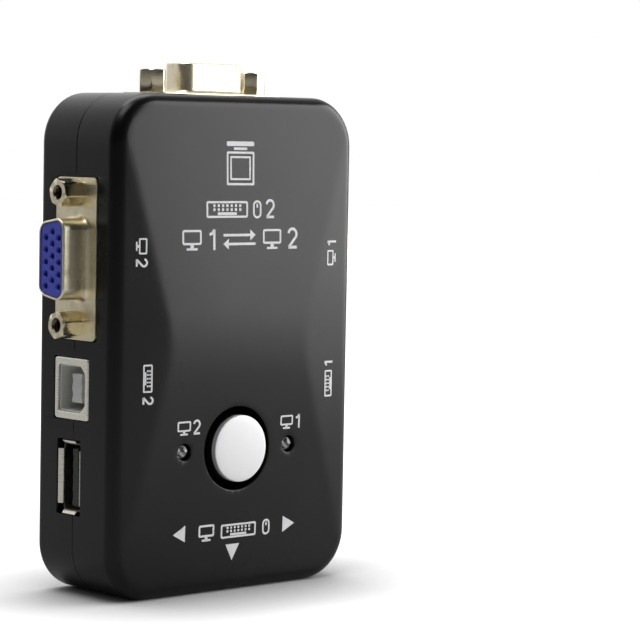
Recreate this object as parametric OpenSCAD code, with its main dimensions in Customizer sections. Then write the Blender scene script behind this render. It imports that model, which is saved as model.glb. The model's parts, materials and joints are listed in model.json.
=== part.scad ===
// Switch that shares one keyboard, screen and mouse between two computers.
// A two-part plastic case holds one circuit board. The case stands on its
// short end: +Z is up, the face and its button look along -Y, and the origin
// is the middle of the bottom end.

/* [Case] */
// Width of the case across the face
case_w = 60.5; // [60:0.5:66]
// Thickness of the case at the ridge of its face
case_d = 24.7; // [24.6:0.1:26]
// Height of the case
case_h = 96.3; // [96:0.1:104]
// Radius of the outline's corners
corner_r = 9.6; // [9:0.1:10.5]
// Radius of the front edge
front_edge_r = 2.5; // [1.5:0.1:3]
// Radius of the rear edge
rear_edge_r = 1.6; // [1:0.1:2]
// Thickness of the case's walls
wall = 2.0; // [1.8:0.1:2.2]
// Fall of the face from its ridge to its edges
relief = 1.3; // [0.6:0.1:1.5]
// Half the length of the ridge that crosses the face
ridge_half = 16.3; // [14:0.1:18]
// Distance of the seam behind the middle of the thickness
seam_back = 0.75; // [0.4:0.05:1.2]

/* [Button] */
// Diameter of the button's cap
cap_d = 13.0; // [12:0.1:13.6]
// Diameter of the well round the cap
well_d = 16.4; // [16:0.1:17]
// Height of the cap's top above the face
cap_proud = 1.2; // [0.8:0.1:2]
// Travel of the button
travel = 1.5; // [1:0.1:1.6]
// Height of the button and the lamps above the bottom end
button_up = 28.0; // [27.5:0.1:30]
// Distance of each lamp from the button's axis
lamp_out = 13.25; // [12.8:0.05:13.4]
// Diameter of the lamps
lamp_d = 3.0; // [2.8:0.1:3.2]

/* [Ports] */
// Height of the side video ports above the bottom end
video_up = 64.8; // [64.6:0.1:66]
// Height of the square ports above the bottom end
square_up = 40.0; // [39.6:0.1:40.4]
// Height of the flat ports in the sides above the bottom end
flat_up = 23.0; // [22.8:0.1:23.4]
// Distance of the video ports' axes behind the middle of the thickness
video_back = 0.4; // [0.2:0.1:0.5]
// Distance of the square ports' axes behind the middle of the thickness
square_back = 1.65; // [1.5:0.05:1.7]
// Distance of the flat ports' axes behind the middle of the thickness
flat_back = 2.2; // [2:0.1:2.4]
// Spacing of a video port's two jack screws
jack_spacing = 24.99; // [24.9:0.01:25.1]
// Width across the flats of a jack screw
jack_af = 4.75; // [4.7:0.05:5]

/* [Hidden] */

$fn = 64;
eps = 0.01;
gap = 0.05;           // clearance between pieces that sit in each other
hair = 0.002;         // keeps a rounding just inside the straight sides it joins

// Levels along the thickness, counted from its middle towards the face
ridge_z = case_d / 2;
edge_z = ridge_z - relief;
seam_z = -seam_back;
rear_z = -case_d / 2;
front_inside = edge_z - wall;
lip_h = 1.2;
lip_t = 0.9;
rear_inside = rear_z + wall;
fall = relief / (case_h / 2);                    // slope of the face's end planes
face_z = ridge_z - fall * abs(case_h / 2 - button_up);

// Circuit board
board_t = 1.6;
board_top = -7.05;
board_under = board_top - board_t;
board_w = case_w - 2 * wall - 0.7;
board_h = case_h - 2 * wall - 0.7;
board_r = corner_r - wall - 0.35;
pin_end = rear_inside + 0.35;
pin = 0.5;
pin_hole_r = 0.45;

// Case screws
screw_x = 22.5;
screw_low = 7.8;
screw_high = case_h - screw_low;
screw_r = 1.3;
screw_head_r = 2.5;
screw_head_t = 1.3;
screw_sink = 1.5;
screw_top = 1;
boss_r = 3.2;

// Button and its switch
cap_top = face_z + cap_proud;
cap_skirt = 8;
cap_wall = 1.2;
cap_edge_r = 0.5;
stem_r = 2.75;
plunger = 3.3;
plunger_top = 8;
plunger_foot = 1;
switch_w = 8.5;
switch_top = 2.5;
switch_pin_x = 2.5;
lamp_deep = 5.3;

// Video port, in its own frame: x along the flange, y to the face, z outwards
flange_w = 30.8;
flange_h = 12.5;
flange_r = 1.2;
flange_t = 0.8;
flange_proud = 0.3;
collar_half = 16.33 / 2;
collar_h = 7.9;
collar_r = 2.3;
collar_t = 0.45;
collar_top = 6.1;
collar_lean = 10;
video_deep = 7.6;
insulator_foot = -0.55;
contact_pitch = 2.29;
row_pitch = 1.98;
contact_bore_r = 0.6;
jack_x = jack_spacing / 2;
jack_top = 4.7;
jack_bore_r = 1.2;
jack_shank_r = 1.4;
video_opening = [flange_w + 0.2, flange_h + 0.2];
video_floor = -6.2;   // lowest level of a port's pieces inside the wall's opening

// Square port
square_shell = [11.9, 10.6];
square_deep = 16;
square_mouth = [9.0, 8.2];
square_cavity = [8.45, 7.78];
square_chamfer = 1.5;
square_wall = 0.4;
square_tongue = [5.6, 3.18];

// Flat port
flat_shell = [13.1, 5.7];
flat_deep = 14;
flat_wall = 0.3;
flat_lip = [14.3, 7.1];
flat_tongue = [11.1, 1.84];
flat_tongue_y = 0.9;
flat_contact_x = [-3.5, -1, 1, 3.5];
flat_tail = -flat_deep - 1.4;

// ---- frames ---------------------------------------------------------------

// Lays children out as seen from the front: x right, y up, z towards the face
module plan() {
    rotate([90, 0, 0]) children();
}

// Port frames: turn is the angle from the top end about the Y axis
module port_frame(turn, back) {
    half = abs(sin(turn)) * case_w / 2 + abs(cos(turn)) * case_h / 2;
    translate([0, back, 0]) rotate([0, turn, 0]) translate([0, 0, half])
        rotate([0, 0, 180]) children();
}

module port_at(turn, back, up) {
    translate([0, 0, up]) port_frame(turn, back) children();
}

module monitor_port() { port_at(0, video_back, case_h / 2) children(); }
module pc1_video() { port_at(90, video_back, video_up) children(); }
module pc2_video() { port_at(-90, video_back, video_up) children(); }
module pc1_square() { port_at(90, square_back, square_up) children(); }
module pc2_square() { port_at(-90, square_back, square_up) children(); }
module right_flat() { port_at(90, flat_back, flat_up) children(); }
module left_flat() { port_at(-90, flat_back, flat_up) children(); }
module bottom_flat() { port_at(180, flat_back, case_h / 2) children(); }

// ---- outlines ---------------------------------------------------------------

// Rectangle with round corners, centred
module round_rect(w, h, r) {
    square([w - 2 * r, h], center = true);
    square([w, h - 2 * r], center = true);
    for (sx = [-1, 1], sy = [-1, 1])
        translate([sx * (w / 2 - r), sy * (h / 2 - r)]) circle(r);
}

// Centres of the D outline's corners, the wide side at +y
function d_centres(half, h, r) =
    let (t = tan(collar_lean), c = cos(collar_lean))
    [for (sy = [1, -1]) [half - (sy > 0 ? 0 : h * t) - sy * r * t - r / c, sy * (h / 2 - r)]];

// D outline of a video port, made smaller by inset
module d_shape(inset = 0) {
    r = collar_r - inset;
    p = d_centres(collar_half, collar_h, collar_r);
    n = [r * cos(collar_lean), -r * sin(collar_lean)];
    side = [p[0] + [0, r], p[0] + n, p[1] + n, p[1] - [0, r]];
    polygon(concat(side, [for (i = [3:-1:0]) [-side[i][0], side[i][1]]]));
    for (s = [-1, 1], c = p) translate([s * c[0], c[1]]) circle(r - hair);
}

// Mouth of a square port: two corners towards the face are cut off
module chamfered(size, cut) {
    w = size[0] / 2;
    h = size[1] / 2;
    polygon([[-w, -h], [w, -h], [w, h - cut], [w - cut, h], [cut - w, h], [-w, h - cut]]);
}

module box(size, at) {
    translate(at) translate([-size[0] / 2, -size[1] / 2, 0]) cube(size);
}

// ---- case -------------------------------------------------------------------

// Block with a rounded outline; its rim follows a 2D profile, where x counts
// outwards from a corner's centre and y is the level
module rimmed_block(low, high) {
    cx = case_w / 2 - corner_r;
    cy = case_h / 2 - corner_r;
    for (q = [0:3]) rotate(q * 90) {
        sides = q % 2 == 0 ? [cx, cy] : [cy, cx];
        translate([sides[0], sides[1], 0]) rotate_extrude(angle = 90) children();
        translate([sides[0], -sides[1], 0]) rotate([90, 0, 180])
            mirror([1, 0, 0]) linear_extrude(2 * sides[1]) children();
    }
    translate([-cx, -cy, low]) cube([2 * cx, 2 * cy, high - low]);
}

module front_rim() {
    tilt = atan(relief / (case_w / 2 - ridge_half));
    centre = edge_z + front_edge_r * (tan(tilt) - 1 / cos(tilt));
    translate([0, seam_z]) square([corner_r, centre - seam_z]);
    translate([0, seam_z]) square([corner_r - front_edge_r, ridge_z - seam_z]);
    translate([corner_r - front_edge_r, centre]) intersection() {
        circle(front_edge_r);
        square(front_edge_r);
    }
}

module rear_rim() {
    centre = rear_z + rear_edge_r;
    translate([0, centre]) square([corner_r, seam_z - centre]);
    translate([0, rear_z]) square([corner_r - rear_edge_r, seam_z - rear_z]);
    translate([corner_r - rear_edge_r, centre]) intersection() {
        circle(rear_edge_r);
        translate([0, -rear_edge_r]) square(rear_edge_r);
    }
}

// Four shallow planes that fall from a short ridge across the face
module hipped_top() {
    low = seam_z - 5;
    w = case_w / 2 + 1;
    h = case_h / 2 + 1;
    side = relief / (case_w / 2 - ridge_half);
    intersection() {
        rotate([90, 0, 90]) linear_extrude(2 * w, center = true)
            polygon([[-h, low], [h, low], [h, ridge_z - h * fall], [0, ridge_z],
                [-h, ridge_z - h * fall]]);
        rotate([90, 0, 0]) linear_extrude(2 * h, center = true)
            polygon([[-w, low], [w, low], [w, ridge_z - side * (w - ridge_half)],
                [ridge_half, ridge_z + eps], [-ridge_half, ridge_z + eps],
                [-w, ridge_z - side * (w - ridge_half)]]);
    }
}

module inside(inset, low, high) {
    translate([0, 0, low]) linear_extrude(high - low)
        round_rect(case_w - 2 * (wall + inset), case_h - 2 * (wall + inset),
            corner_r - wall - inset);
}

// Openings in the case's walls for all the ports
module port_openings(deep) {
    monitor_port() opening(video_opening, deep);
    pc1_video() opening(video_opening, deep);
    pc2_video() opening(video_opening, deep);
    pc1_square() opening(square_shell + [0.2, 0.2], deep);
    pc2_square() opening(square_shell + [0.2, 0.2], deep);
    right_flat() opening(flat_lip + [0.2, 0.2], deep);
    left_flat() opening(flat_lip + [0.2, 0.2], deep);
    bottom_flat() opening(flat_lip + [0.2, 0.2], deep);
}

module opening(size, deep) {
    box([size[0], size[1], deep + 2], [0, 0, -deep]);
}

module at_screws() {
    for (x = [-screw_x, screw_x], y = [screw_low, screw_high])
        translate([x, y, 0]) children();
}

module front_cover() color([0.09, 0.09, 0.095]) difference() {
    plan() difference() {
        union() {
            translate([0, case_h / 2, 0]) difference() {
                intersection() {
                    rimmed_block(seam_z, ridge_z) front_rim();
                    hipped_top();
                }
                inside(0, seam_z - 1, front_inside);
            }
            at_screws() translate([0, 0, board_top])
                cylinder(r = boss_r, h = front_inside - board_top + 0.5);
            translate([0, button_up, front_inside - 3])
                cylinder(d = well_d + 2.4, h = 3.5);
        }
        at_screws() translate([0, 0, board_top - 1])
            cylinder(r = screw_r + eps, h = screw_top - board_top + 2);
        translate([0, button_up, 0]) {
            translate([0, 0, front_inside - 4]) cylinder(d = well_d, h = 10);
            for (x = [-lamp_out, lamp_out])
                translate([x, 0, front_inside - 1]) cylinder(d = lamp_d + 0.3, h = 5);
        }
    }
    port_openings(wall + 0.5);
}

module rear_cover() color([0.07, 0.07, 0.075]) difference() {
    plan() difference() {
        union() {
            translate([0, case_h / 2, 0]) difference() {
                rimmed_block(rear_z, seam_z) rear_rim();
                inside(0, rear_inside, seam_z + 1);
            }
            translate([0, case_h / 2, 0]) difference() {
                union() {
                    inside(-0.1, seam_z - 3, seam_z - 0.1);
                    inside(gap, seam_z - 1, seam_z + lip_h);
                }
                inside(gap + lip_t, seam_z - 4, seam_z + 2);
            }
            at_screws() translate([0, 0, rear_inside - 0.5])
                cylinder(r = boss_r + 0.3, h = board_under - rear_inside + 0.5);
        }
        at_screws() {
            translate([0, 0, rear_z - 1]) cylinder(r = screw_head_r + 0.3, h = screw_sink + 1);
            translate([0, 0, rear_z]) cylinder(r = screw_r + 0.2, h = 6);
        }
    }
    port_openings(wall + 1.5);
}

module case_screws() color([0.62, 0.62, 0.64]) plan() at_screws()
    translate([0, 0, rear_z + screw_sink]) difference() {
        union() {
            translate([0, 0, -screw_head_t]) cylinder(r = screw_head_r, h = screw_head_t);
            cylinder(r = screw_r, h = screw_top - rear_z - screw_sink);
        }
        for (a = [0, 90]) rotate(a)
            box([2.8, 0.6, 1], [0, 0, -screw_head_t - 0.2]);
    }

// ---- board, button and lamps ---------------------------------------------------

module circuit_board() color([0.05, 0.30, 0.16]) difference() {
    plan() difference() {
        translate([0, case_h / 2, board_under]) linear_extrude(board_t)
            round_rect(board_w, board_h, board_r);
        at_screws() translate([0, 0, board_under - 1])
            cylinder(r = screw_r + 0.3, h = board_t + 2);
        translate([0, button_up, board_under - 1]) {
            for (p = switch_pin_places()) translate(p) cylinder(r = pin_hole_r, h = board_t + 2);
            for (s = [-1, 1], x = [-1.27, 1.27])
                translate([s * lamp_out + x, 0, 0]) cylinder(r = pin_hole_r, h = board_t + 2);
        }
    }
    monitor_port() video_holes();
    pc1_video() video_holes();
    pc2_video() video_holes();
    pc1_square() square_holes();
    pc2_square() square_holes();
    right_flat() flat_holes();
    left_flat() flat_holes();
    bottom_flat() flat_holes();
}

module select_button() color([0.80, 0.80, 0.81]) plan() translate([0, button_up, 0]) difference() {
    translate([0, 0, cap_top]) rotate_extrude() {
        translate([0, -cap_skirt]) square([cap_d / 2, cap_skirt - cap_edge_r]);
        translate([0, -cap_edge_r - eps]) square([cap_d / 2 - cap_edge_r, cap_edge_r + eps]);
        translate([cap_d / 2 - cap_edge_r, -cap_edge_r]) circle(cap_edge_r);
    }
    translate([0, 0, cap_top - cap_skirt - 1]) difference() {
        cylinder(d = cap_d - 2 * cap_wall, h = cap_skirt - 0.5);
        cylinder(r = stem_r, h = cap_skirt);
    }
    box([plunger + 0.04, plunger + 0.04, plunger_top - 3 + 0.02], [0, 0, 3]);
}

module switch_plunger() color([0.86, 0.86, 0.84]) plan() translate([0, button_up, 0])
    box([plunger, plunger, plunger_top - plunger_foot], [0, 0, plunger_foot]);

module switch_body() color([0.16, 0.16, 0.17]) plan() translate([0, button_up, 0]) difference() {
    box([switch_w, switch_w, switch_top - board_top], [0, 0, board_top]);
    box([plunger + 0.3, plunger + 0.3, 6], [0, 0, plunger_foot - travel - 0.5]);
}

function switch_pin_places() = [for (x = [-switch_pin_x, switch_pin_x], y = [-2, 0, 2]) [x, y, 0]];

module switch_pins() color([0.72, 0.72, 0.70]) plan() translate([0, button_up, 0])
    for (p = switch_pin_places()) box([pin, pin, board_top - pin_end], p + [0, 0, pin_end]);

module lamp(side) {
    color([0.90, 0.91, 0.90]) plan() translate([side * lamp_out, button_up, 0]) {
        translate([0, 0, face_z]) rotate_extrude() {
            intersection() {
                translate([0, -lamp_d / 2]) circle(d = lamp_d);
                translate([0, -lamp_d]) square(lamp_d);
            }
            translate([0, -lamp_deep]) square([lamp_d / 2, lamp_deep - lamp_d / 2]);
            translate([0, -lamp_deep]) square([lamp_d / 2 + 0.4, 0.8]);
        }
    }
}

module pc1_lamp() lamp(1);
module pc2_lamp() lamp(-1);

module lamp_leads() color([0.72, 0.72, 0.70]) plan() translate([0, button_up, pin_end])
    for (s = [-1, 1], x = [-1.27, 1.27])
        box([pin, pin, face_z - lamp_deep - pin_end], [s * lamp_out + x, 0, 0]);

// ---- video ports -----------------------------------------------------------------

// Level of the board's two faces in a port's frame
function board_y(back) = board_top + back;
function under_y(back) = board_under + back;
function end_y(back) = pin_end + back;

// Rows of contacts: offset across, shift along, and how far in the tails stand
function video_rows() = [for (i = [-1, 0, 1]) [i * row_pitch,
    i == 0 ? -contact_pitch / 4 : contact_pitch / 4, -10.9 - 2.5 * i]];

module each_contact() {
    for (row = video_rows(), i = [-2:2]) {
        $row = row;
        translate([i * contact_pitch + row[1], 0, 0]) children();
    }
}

module video_shell() color([0.78, 0.76, 0.70]) difference() {
    union() {
        translate([0, 0, flange_proud - flange_t]) linear_extrude(flange_t)
            round_rect(flange_w, flange_h, flange_r);
        linear_extrude(flange_proud + 0.5) d_shape(-0.5);
        linear_extrude(collar_top) d_shape();
    }
    translate([0, 0, -3]) linear_extrude(collar_top + 5) d_shape(collar_t);
    for (s = [-1, 1]) translate([s * jack_x, 0, -3]) cylinder(r = jack_shank_r + 0.15, h = 6);
}

module video_insulator() color([0.13, 0.22, 0.62]) difference() {
    translate([0, 0, insulator_foot]) linear_extrude(collar_top - 0.25 - insulator_foot)
        d_shape(collar_t + gap);
    contact_bores();
}

// Block behind the flange, through which the contacts' tails leave
module video_housing() color([0.13, 0.22, 0.62]) difference() {
    low = board_y(video_back);
    union() {
        translate([-9.4, low, -video_deep]) cube([18.8, 4.6 - low, video_deep - wall - 0.4]);
        translate([-9.4, video_floor, -wall - 1])
            cube([18.8, 4.6 - video_floor, wall + 1 + insulator_foot]);
    }
    contact_bores();
}

module contact_bores() {
    each_contact() translate([0, $row[0], -video_deep - 1])
        cylinder(r = contact_bore_r, h = video_deep + collar_top + 2, $fn = 24);
}

module video_contacts() color([0.80, 0.68, 0.35]) each_contact() {
    y = $row[0];
    tail = $row[2];
    low = end_y(video_back);
    translate([0, y, -1.5]) difference() {
        cylinder(r = contact_bore_r - gap, h = 6.7, $fn = 24);
        translate([0, 0, 1]) cylinder(r = 0.4, h = 7, $fn = 24);
    }
    translate([0, y, -video_deep - 0.2]) cylinder(r = 0.35, h = video_deep - 1, $fn = 24);
    translate([-pin / 2, y - pin / 2, tail - pin / 2]) cube([pin, pin, -video_deep - tail + pin]);
    translate([-pin / 2, low, tail - pin / 2]) cube([pin, y - low, pin]);
}

module video_jack_screws() color([0.78, 0.76, 0.70]) for (s = [-1, 1])
    translate([s * jack_x, 0, 0]) difference() {
        union() {
            translate([0, 0, flange_proud])
                cylinder(r = jack_af / 2 / cos(30), h = jack_top - flange_proud, $fn = 6);
            translate([0, 0, -4]) cylinder(r = jack_shank_r, h = 4.5);
        }
        translate([0, 0, 0.8]) cylinder(r = jack_bore_r, h = jack_top);
    }

// Angle brackets that take the jack screws and clip into the board
module video_brackets() color([0.74, 0.73, 0.70]) {
    low = board_y(video_back);
    for (s = [-1, 1]) translate([s * jack_x, 0, 0]) {
        difference() {
            box([5.6, 3 - video_floor, 1.2], [0, (3 + video_floor) / 2, -1.75]);
            translate([0, 0, -3]) cylinder(r = jack_shank_r + 0.01, h = 4);
        }
        translate([-2.8, low, -8]) cube([5.6, 0.8, 8 - wall - 0.4]);
        translate([-2.8, video_floor, -wall - 1]) cube([5.6, 0.8, 2]);
        translate([-0.5, end_y(video_back), -6]) cube([1, low + 0.1 - end_y(video_back), 1]);
    }
}

module video_holes() {
    each_contact() board_hole(0, $row[2], pin_hole_r, video_back);
    for (s = [-1, 1]) board_hole(s * jack_x, -5.5, 0.8, video_back);
}

// Hole through the board under a place in a port's frame
module board_hole(x, z, r, back) {
    translate([x, under_y(back) - 1, z]) rotate([-90, 0, 0]) cylinder(r = r, h = board_t + 2, $fn = 24);
}

module monitor_port_shell() monitor_port() video_shell();
module monitor_port_insulator() monitor_port() video_insulator();
module monitor_port_housing() monitor_port() video_housing();
module monitor_port_contacts() monitor_port() video_contacts();
module monitor_port_jack_screws() monitor_port() video_jack_screws();
module monitor_port_brackets() monitor_port() video_brackets();
module pc1_video_shell() pc1_video() video_shell();
module pc1_video_insulator() pc1_video() video_insulator();
module pc1_video_housing() pc1_video() video_housing();
module pc1_video_contacts() pc1_video() video_contacts();
module pc1_video_jack_screws() pc1_video() video_jack_screws();
module pc1_video_brackets() pc1_video() video_brackets();
module pc2_video_shell() pc2_video() video_shell();
module pc2_video_insulator() pc2_video() video_insulator();
module pc2_video_housing() pc2_video() video_housing();
module pc2_video_contacts() pc2_video() video_contacts();
module pc2_video_jack_screws() pc2_video() video_jack_screws();
module pc2_video_brackets() pc2_video() video_brackets();

// ---- square ports ------------------------------------------------------------------

module square_port_shell() color([0.80, 0.79, 0.76]) {
    inner = square_shell - [2 * square_wall, 2 * square_wall];
    difference() {
        box([square_shell[0], square_shell[1], square_deep], [0, 0, -square_deep]);
        box([inner[0], inner[1], square_deep], [0, 0, -square_deep - square_wall]);
        translate([0, 0, -2]) linear_extrude(4) chamfered(square_mouth, square_chamfer);
    }
    for (s = [-1, 1]) translate([s * (square_shell[0] - square_wall) / 2, 0, -6.5])
        translate([-square_wall / 2, end_y(square_back), 0])
            cube([square_wall, -square_shell[1] / 2 - end_y(square_back) + 0.1, 1.2]);
}

module square_port_insulator() color([0.88, 0.89, 0.86]) {
    body = square_shell - [2 * square_wall + 2 * gap, 2 * square_wall + 2 * gap];
    difference() {
        union() {
            difference() {
                box([body[0], body[1], square_deep - 1], [0, 0, 0.5 - square_deep]);
                translate([0, 0, -9.5]) linear_extrude(12) chamfered(square_cavity, square_chamfer);
            }
            box([square_tongue[0], square_tongue[1], 8.3], [0, 0, -9.7]);
        }
        square_strips(0.05, 2);
    }
}

// Four flat contacts on the two sides of the tongue
module square_strips(grow, extra) {
    for (x = [-1.25, 1.25], s = [-1, 1])
        box([1 + 2 * grow, 0.25 + 2 * grow, square_deep - 2.2 + extra],
            [x, s * (square_tongue[1] / 2 - 0.1), 0.2 - square_deep - extra]);
}

function square_tails() = [for (x = [-1.25, 1.25], s = [-1, 1]) [x, s, -square_deep - 0.5 - (s + 1)]];

module square_port_contacts() color([0.80, 0.68, 0.35]) {
    low = end_y(square_back);
    square_strips(0, 0);
    for (t = square_tails()) {
        y = t[1] * (square_tongue[1] / 2 - 0.1);
        translate([t[0] - pin / 2, y - 0.125, t[2]]) cube([pin, 0.25, 1 - square_deep - t[2]]);
        translate([t[0] - pin / 2, low, t[2] - pin / 2]) cube([pin, y + 0.125 - low, pin]);
    }
}

module square_holes() {
    for (t = square_tails()) board_hole(t[0], t[2], pin_hole_r, square_back);
    for (s = [-1, 1])
        board_hole(s * (square_shell[0] - square_wall) / 2, -5.9, 0.75, square_back);
}

module pc1_square_shell() pc1_square() square_port_shell();
module pc1_square_insulator() pc1_square() square_port_insulator();
module pc1_square_contacts() pc1_square() square_port_contacts();
module pc2_square_shell() pc2_square() square_port_shell();
module pc2_square_insulator() pc2_square() square_port_insulator();
module pc2_square_contacts() pc2_square() square_port_contacts();

// ---- flat ports ----------------------------------------------------------------------

// Lip bent outwards along one edge of the mouth
module flat_port_lip(length, out, reach) {
    rotate([90, 0, 90]) linear_extrude(length, center = true)
        polygon([[out, -1.2], [out, -0.8], [out + reach, 0], [out + reach, -0.35],
            [out + 0.3, -1.2]]);
}

module flat_port_shell() color([0.80, 0.79, 0.76]) {
    low = end_y(flat_back);
    difference() {
        box([flat_shell[0], flat_shell[1], flat_deep - 0.8], [0, 0, -flat_deep]);
        box([flat_shell[0] - 2 * flat_wall, flat_shell[1] - 2 * flat_wall, flat_deep + 2],
            [0, 0, -flat_deep - 1]);
    }
    for (a = [0, 180]) rotate(a) flat_port_lip(9, flat_shell[1] / 2 - 0.3, 1);
    for (a = [90, 270]) rotate(a) flat_port_lip(4, flat_shell[0] / 2 - 0.3, 0.9);
    for (s = [-1, 1]) translate([s * (flat_shell[0] - flat_wall) / 2, 0, -5.5])
        translate([-flat_wall / 2, low, 0]) cube([flat_wall, -flat_shell[1] / 2 - low + 0.1, 1.2]);
}

module flat_port_tongue() color([0.06, 0.06, 0.065]) difference() {
    low = board_y(flat_back);
    union() {
        box([flat_tongue[0], flat_tongue[1], 10.5], [0, flat_tongue_y, -11.5]);
        box([flat_shell[0] - 2 * flat_wall - 2 * gap, flat_shell[1] - 2 * flat_wall - 2 * gap, 3.2],
            [0, 0, -flat_deep - 0.2]);
        translate([-6, low, -flat_deep - 1]) cube([12, 2.6 - low, 0.9]);
        translate([-6, low, -flat_deep - 1]) cube([12, -flat_shell[1] / 2 - gap - low, 4]);
    }
    flat_strips(0.05, 3);
}

module flat_strips(grow, extra) {
    for (x = flat_contact_x)
        box([1 + 2 * grow, 0.25 + 2 * grow, -1.8 - flat_tail + extra],
            [x, flat_tongue_y - flat_tongue[1] / 2 - 0.02, flat_tail - extra]);
}

module flat_port_contacts() color([0.80, 0.68, 0.35]) {
    low = end_y(flat_back);
    top = flat_tongue_y - flat_tongue[1] / 2 + 0.1;
    flat_strips(0, 0);
    for (x = flat_contact_x)
        translate([x - pin / 2, low, flat_tail - pin / 2]) cube([pin, top - low, pin]);
}

module flat_holes() {
    for (x = flat_contact_x) board_hole(x, flat_tail, pin_hole_r, flat_back);
    for (s = [-1, 1])
        board_hole(s * (flat_shell[0] - flat_wall) / 2, -4.9, 0.75, flat_back);
}

module right_flat_shell() right_flat() flat_port_shell();
module right_flat_tongue() right_flat() flat_port_tongue();
module right_flat_contacts() right_flat() flat_port_contacts();
module left_flat_shell() left_flat() flat_port_shell();
module left_flat_tongue() left_flat() flat_port_tongue();
module left_flat_contacts() left_flat() flat_port_contacts();
module bottom_flat_shell() bottom_flat() flat_port_shell();
module bottom_flat_tongue() bottom_flat() flat_port_tongue();
module bottom_flat_contacts() bottom_flat() flat_port_contacts();

// ---- parts on the board ----------------------------------------------------------------

// Chips: place on the board, size, and how many leads on each long side
video_chip_rows = [[-8, 72], [0, 72], [8, 72]];
video_chip = [3.9, 9.9, 1.5, 8];
hub_place = [0, 46];
hub_size = [7.6, 18, 2.2, 14];
controller_place = [0, 60];
controller_size = [5.2, 7, 1.6, 7];
lead_pitch = 1.27;

module chip(place, size) {
    box([size[0], size[1], size[2]], [place[0], place[1], board_top + 0.12]);
}

module leads(place, size) {
    for (s = [-1, 1], i = [0:size[3] - 1]) {
        y = place[1] + (i - (size[3] - 1) / 2) * min(lead_pitch, (size[1] - 0.6) / size[3]);
        x = place[0] + s * size[0] / 2;
        box([0.2, 0.4, size[2] / 2 + 0.2], [x + s * 0.1, y, board_top]);
        box([0.7, 0.4, 0.2], [x + s * 0.5, y, board_top]);
    }
}

module video_chips() color([0.07, 0.07, 0.08]) plan()
    for (p = video_chip_rows) chip(p, video_chip);

module hub_chip() color([0.07, 0.07, 0.08]) plan() chip(hub_place, hub_size);

module controller_chip() color([0.07, 0.07, 0.08]) plan() chip(controller_place, controller_size);

module chip_leads() color([0.75, 0.75, 0.74]) plan() {
    for (p = video_chip_rows) leads(p, video_chip);
    leads(hub_place, hub_size);
    leads(controller_place, controller_size);
}

module crystal() color([0.76, 0.76, 0.74]) plan() translate([8, 58.4, board_top]) {
    linear_extrude(3.4) round_rect(4.4, 10.4, 2.1);
    linear_extrude(0.5) round_rect(4.9, 10.9, 2.4);
}

module large_capacitors() color([0.10, 0.11, 0.16]) plan()
    for (x = [-10, 10]) translate([x, 18, board_top]) cylinder(r = 2.5, h = 7);

module small_capacitors() color([0.62, 0.50, 0.36]) plan()
    for (p = [[-7, 61], [-7, 57], [-7, 53], [7, 51], [7, 48]])
        box([2, 1.25, 0.9], [p[0], p[1], board_top]);

module resistors() color([0.10, 0.10, 0.11]) plan()
    for (x = [-10, -6, -2, 2, 6, 10]) box([1.25, 2, 0.5], [x, 65.4, board_top]);

front_cover();
rear_cover();
case_screws();
circuit_board();
select_button();
switch_plunger();
switch_body();
switch_pins();
pc1_lamp();
pc2_lamp();
lamp_leads();
monitor_port_shell();
monitor_port_insulator();
monitor_port_housing();
monitor_port_contacts();
monitor_port_jack_screws();
monitor_port_brackets();
pc1_video_shell();
pc1_video_insulator();
pc1_video_housing();
pc1_video_contacts();
pc1_video_jack_screws();
pc1_video_brackets();
pc2_video_shell();
pc2_video_insulator();
pc2_video_housing();
pc2_video_contacts();
pc2_video_jack_screws();
pc2_video_brackets();
pc1_square_shell();
pc1_square_insulator();
pc1_square_contacts();
pc2_square_shell();
pc2_square_insulator();
pc2_square_contacts();
right_flat_shell();
right_flat_tongue();
right_flat_contacts();
left_flat_shell();
left_flat_tongue();
left_flat_contacts();
bottom_flat_shell();
bottom_flat_tongue();
bottom_flat_contacts();
video_chips();
hub_chip();
controller_chip();
chip_leads();
crystal();
large_capacitors();
small_capacitors();
resistors();
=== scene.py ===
"""Builds a two-computer keyboard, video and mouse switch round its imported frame.

The case stands on its short end: +Z up, face and button towards -Y. The frame is in
metres. Sizes in this file are in millimetres unless a name ends in _m, and a level
counts from the middle of the case's thickness towards the face, so y = -level.
"""

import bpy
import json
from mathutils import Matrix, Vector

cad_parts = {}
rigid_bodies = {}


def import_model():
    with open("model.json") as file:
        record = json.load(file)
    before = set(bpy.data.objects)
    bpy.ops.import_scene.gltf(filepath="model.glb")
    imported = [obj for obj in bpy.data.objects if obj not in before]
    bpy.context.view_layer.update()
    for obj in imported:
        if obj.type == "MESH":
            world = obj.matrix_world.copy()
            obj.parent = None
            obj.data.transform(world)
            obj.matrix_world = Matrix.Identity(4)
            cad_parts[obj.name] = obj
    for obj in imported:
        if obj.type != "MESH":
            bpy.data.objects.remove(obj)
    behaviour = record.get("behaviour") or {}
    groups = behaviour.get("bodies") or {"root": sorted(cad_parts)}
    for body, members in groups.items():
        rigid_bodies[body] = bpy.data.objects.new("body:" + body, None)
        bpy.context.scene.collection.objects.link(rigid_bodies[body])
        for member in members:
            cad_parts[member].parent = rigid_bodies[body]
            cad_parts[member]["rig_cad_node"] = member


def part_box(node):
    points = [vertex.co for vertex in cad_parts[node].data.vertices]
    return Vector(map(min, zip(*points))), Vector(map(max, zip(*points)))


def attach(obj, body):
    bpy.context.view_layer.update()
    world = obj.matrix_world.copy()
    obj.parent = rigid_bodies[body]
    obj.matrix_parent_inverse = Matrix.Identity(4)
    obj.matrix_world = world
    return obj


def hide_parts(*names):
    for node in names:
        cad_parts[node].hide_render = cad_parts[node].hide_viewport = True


bl_info = {
    "name": "Two-computer desk switch",
    "version": (1, 0, 0),
    "blender": (4, 5, 0),
    "location": "3D View > Sidebar > Switch",
    "description": "Covers, ports, button, lamps and printed marks of a desk switch",
    "category": "Add Mesh",
}

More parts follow.
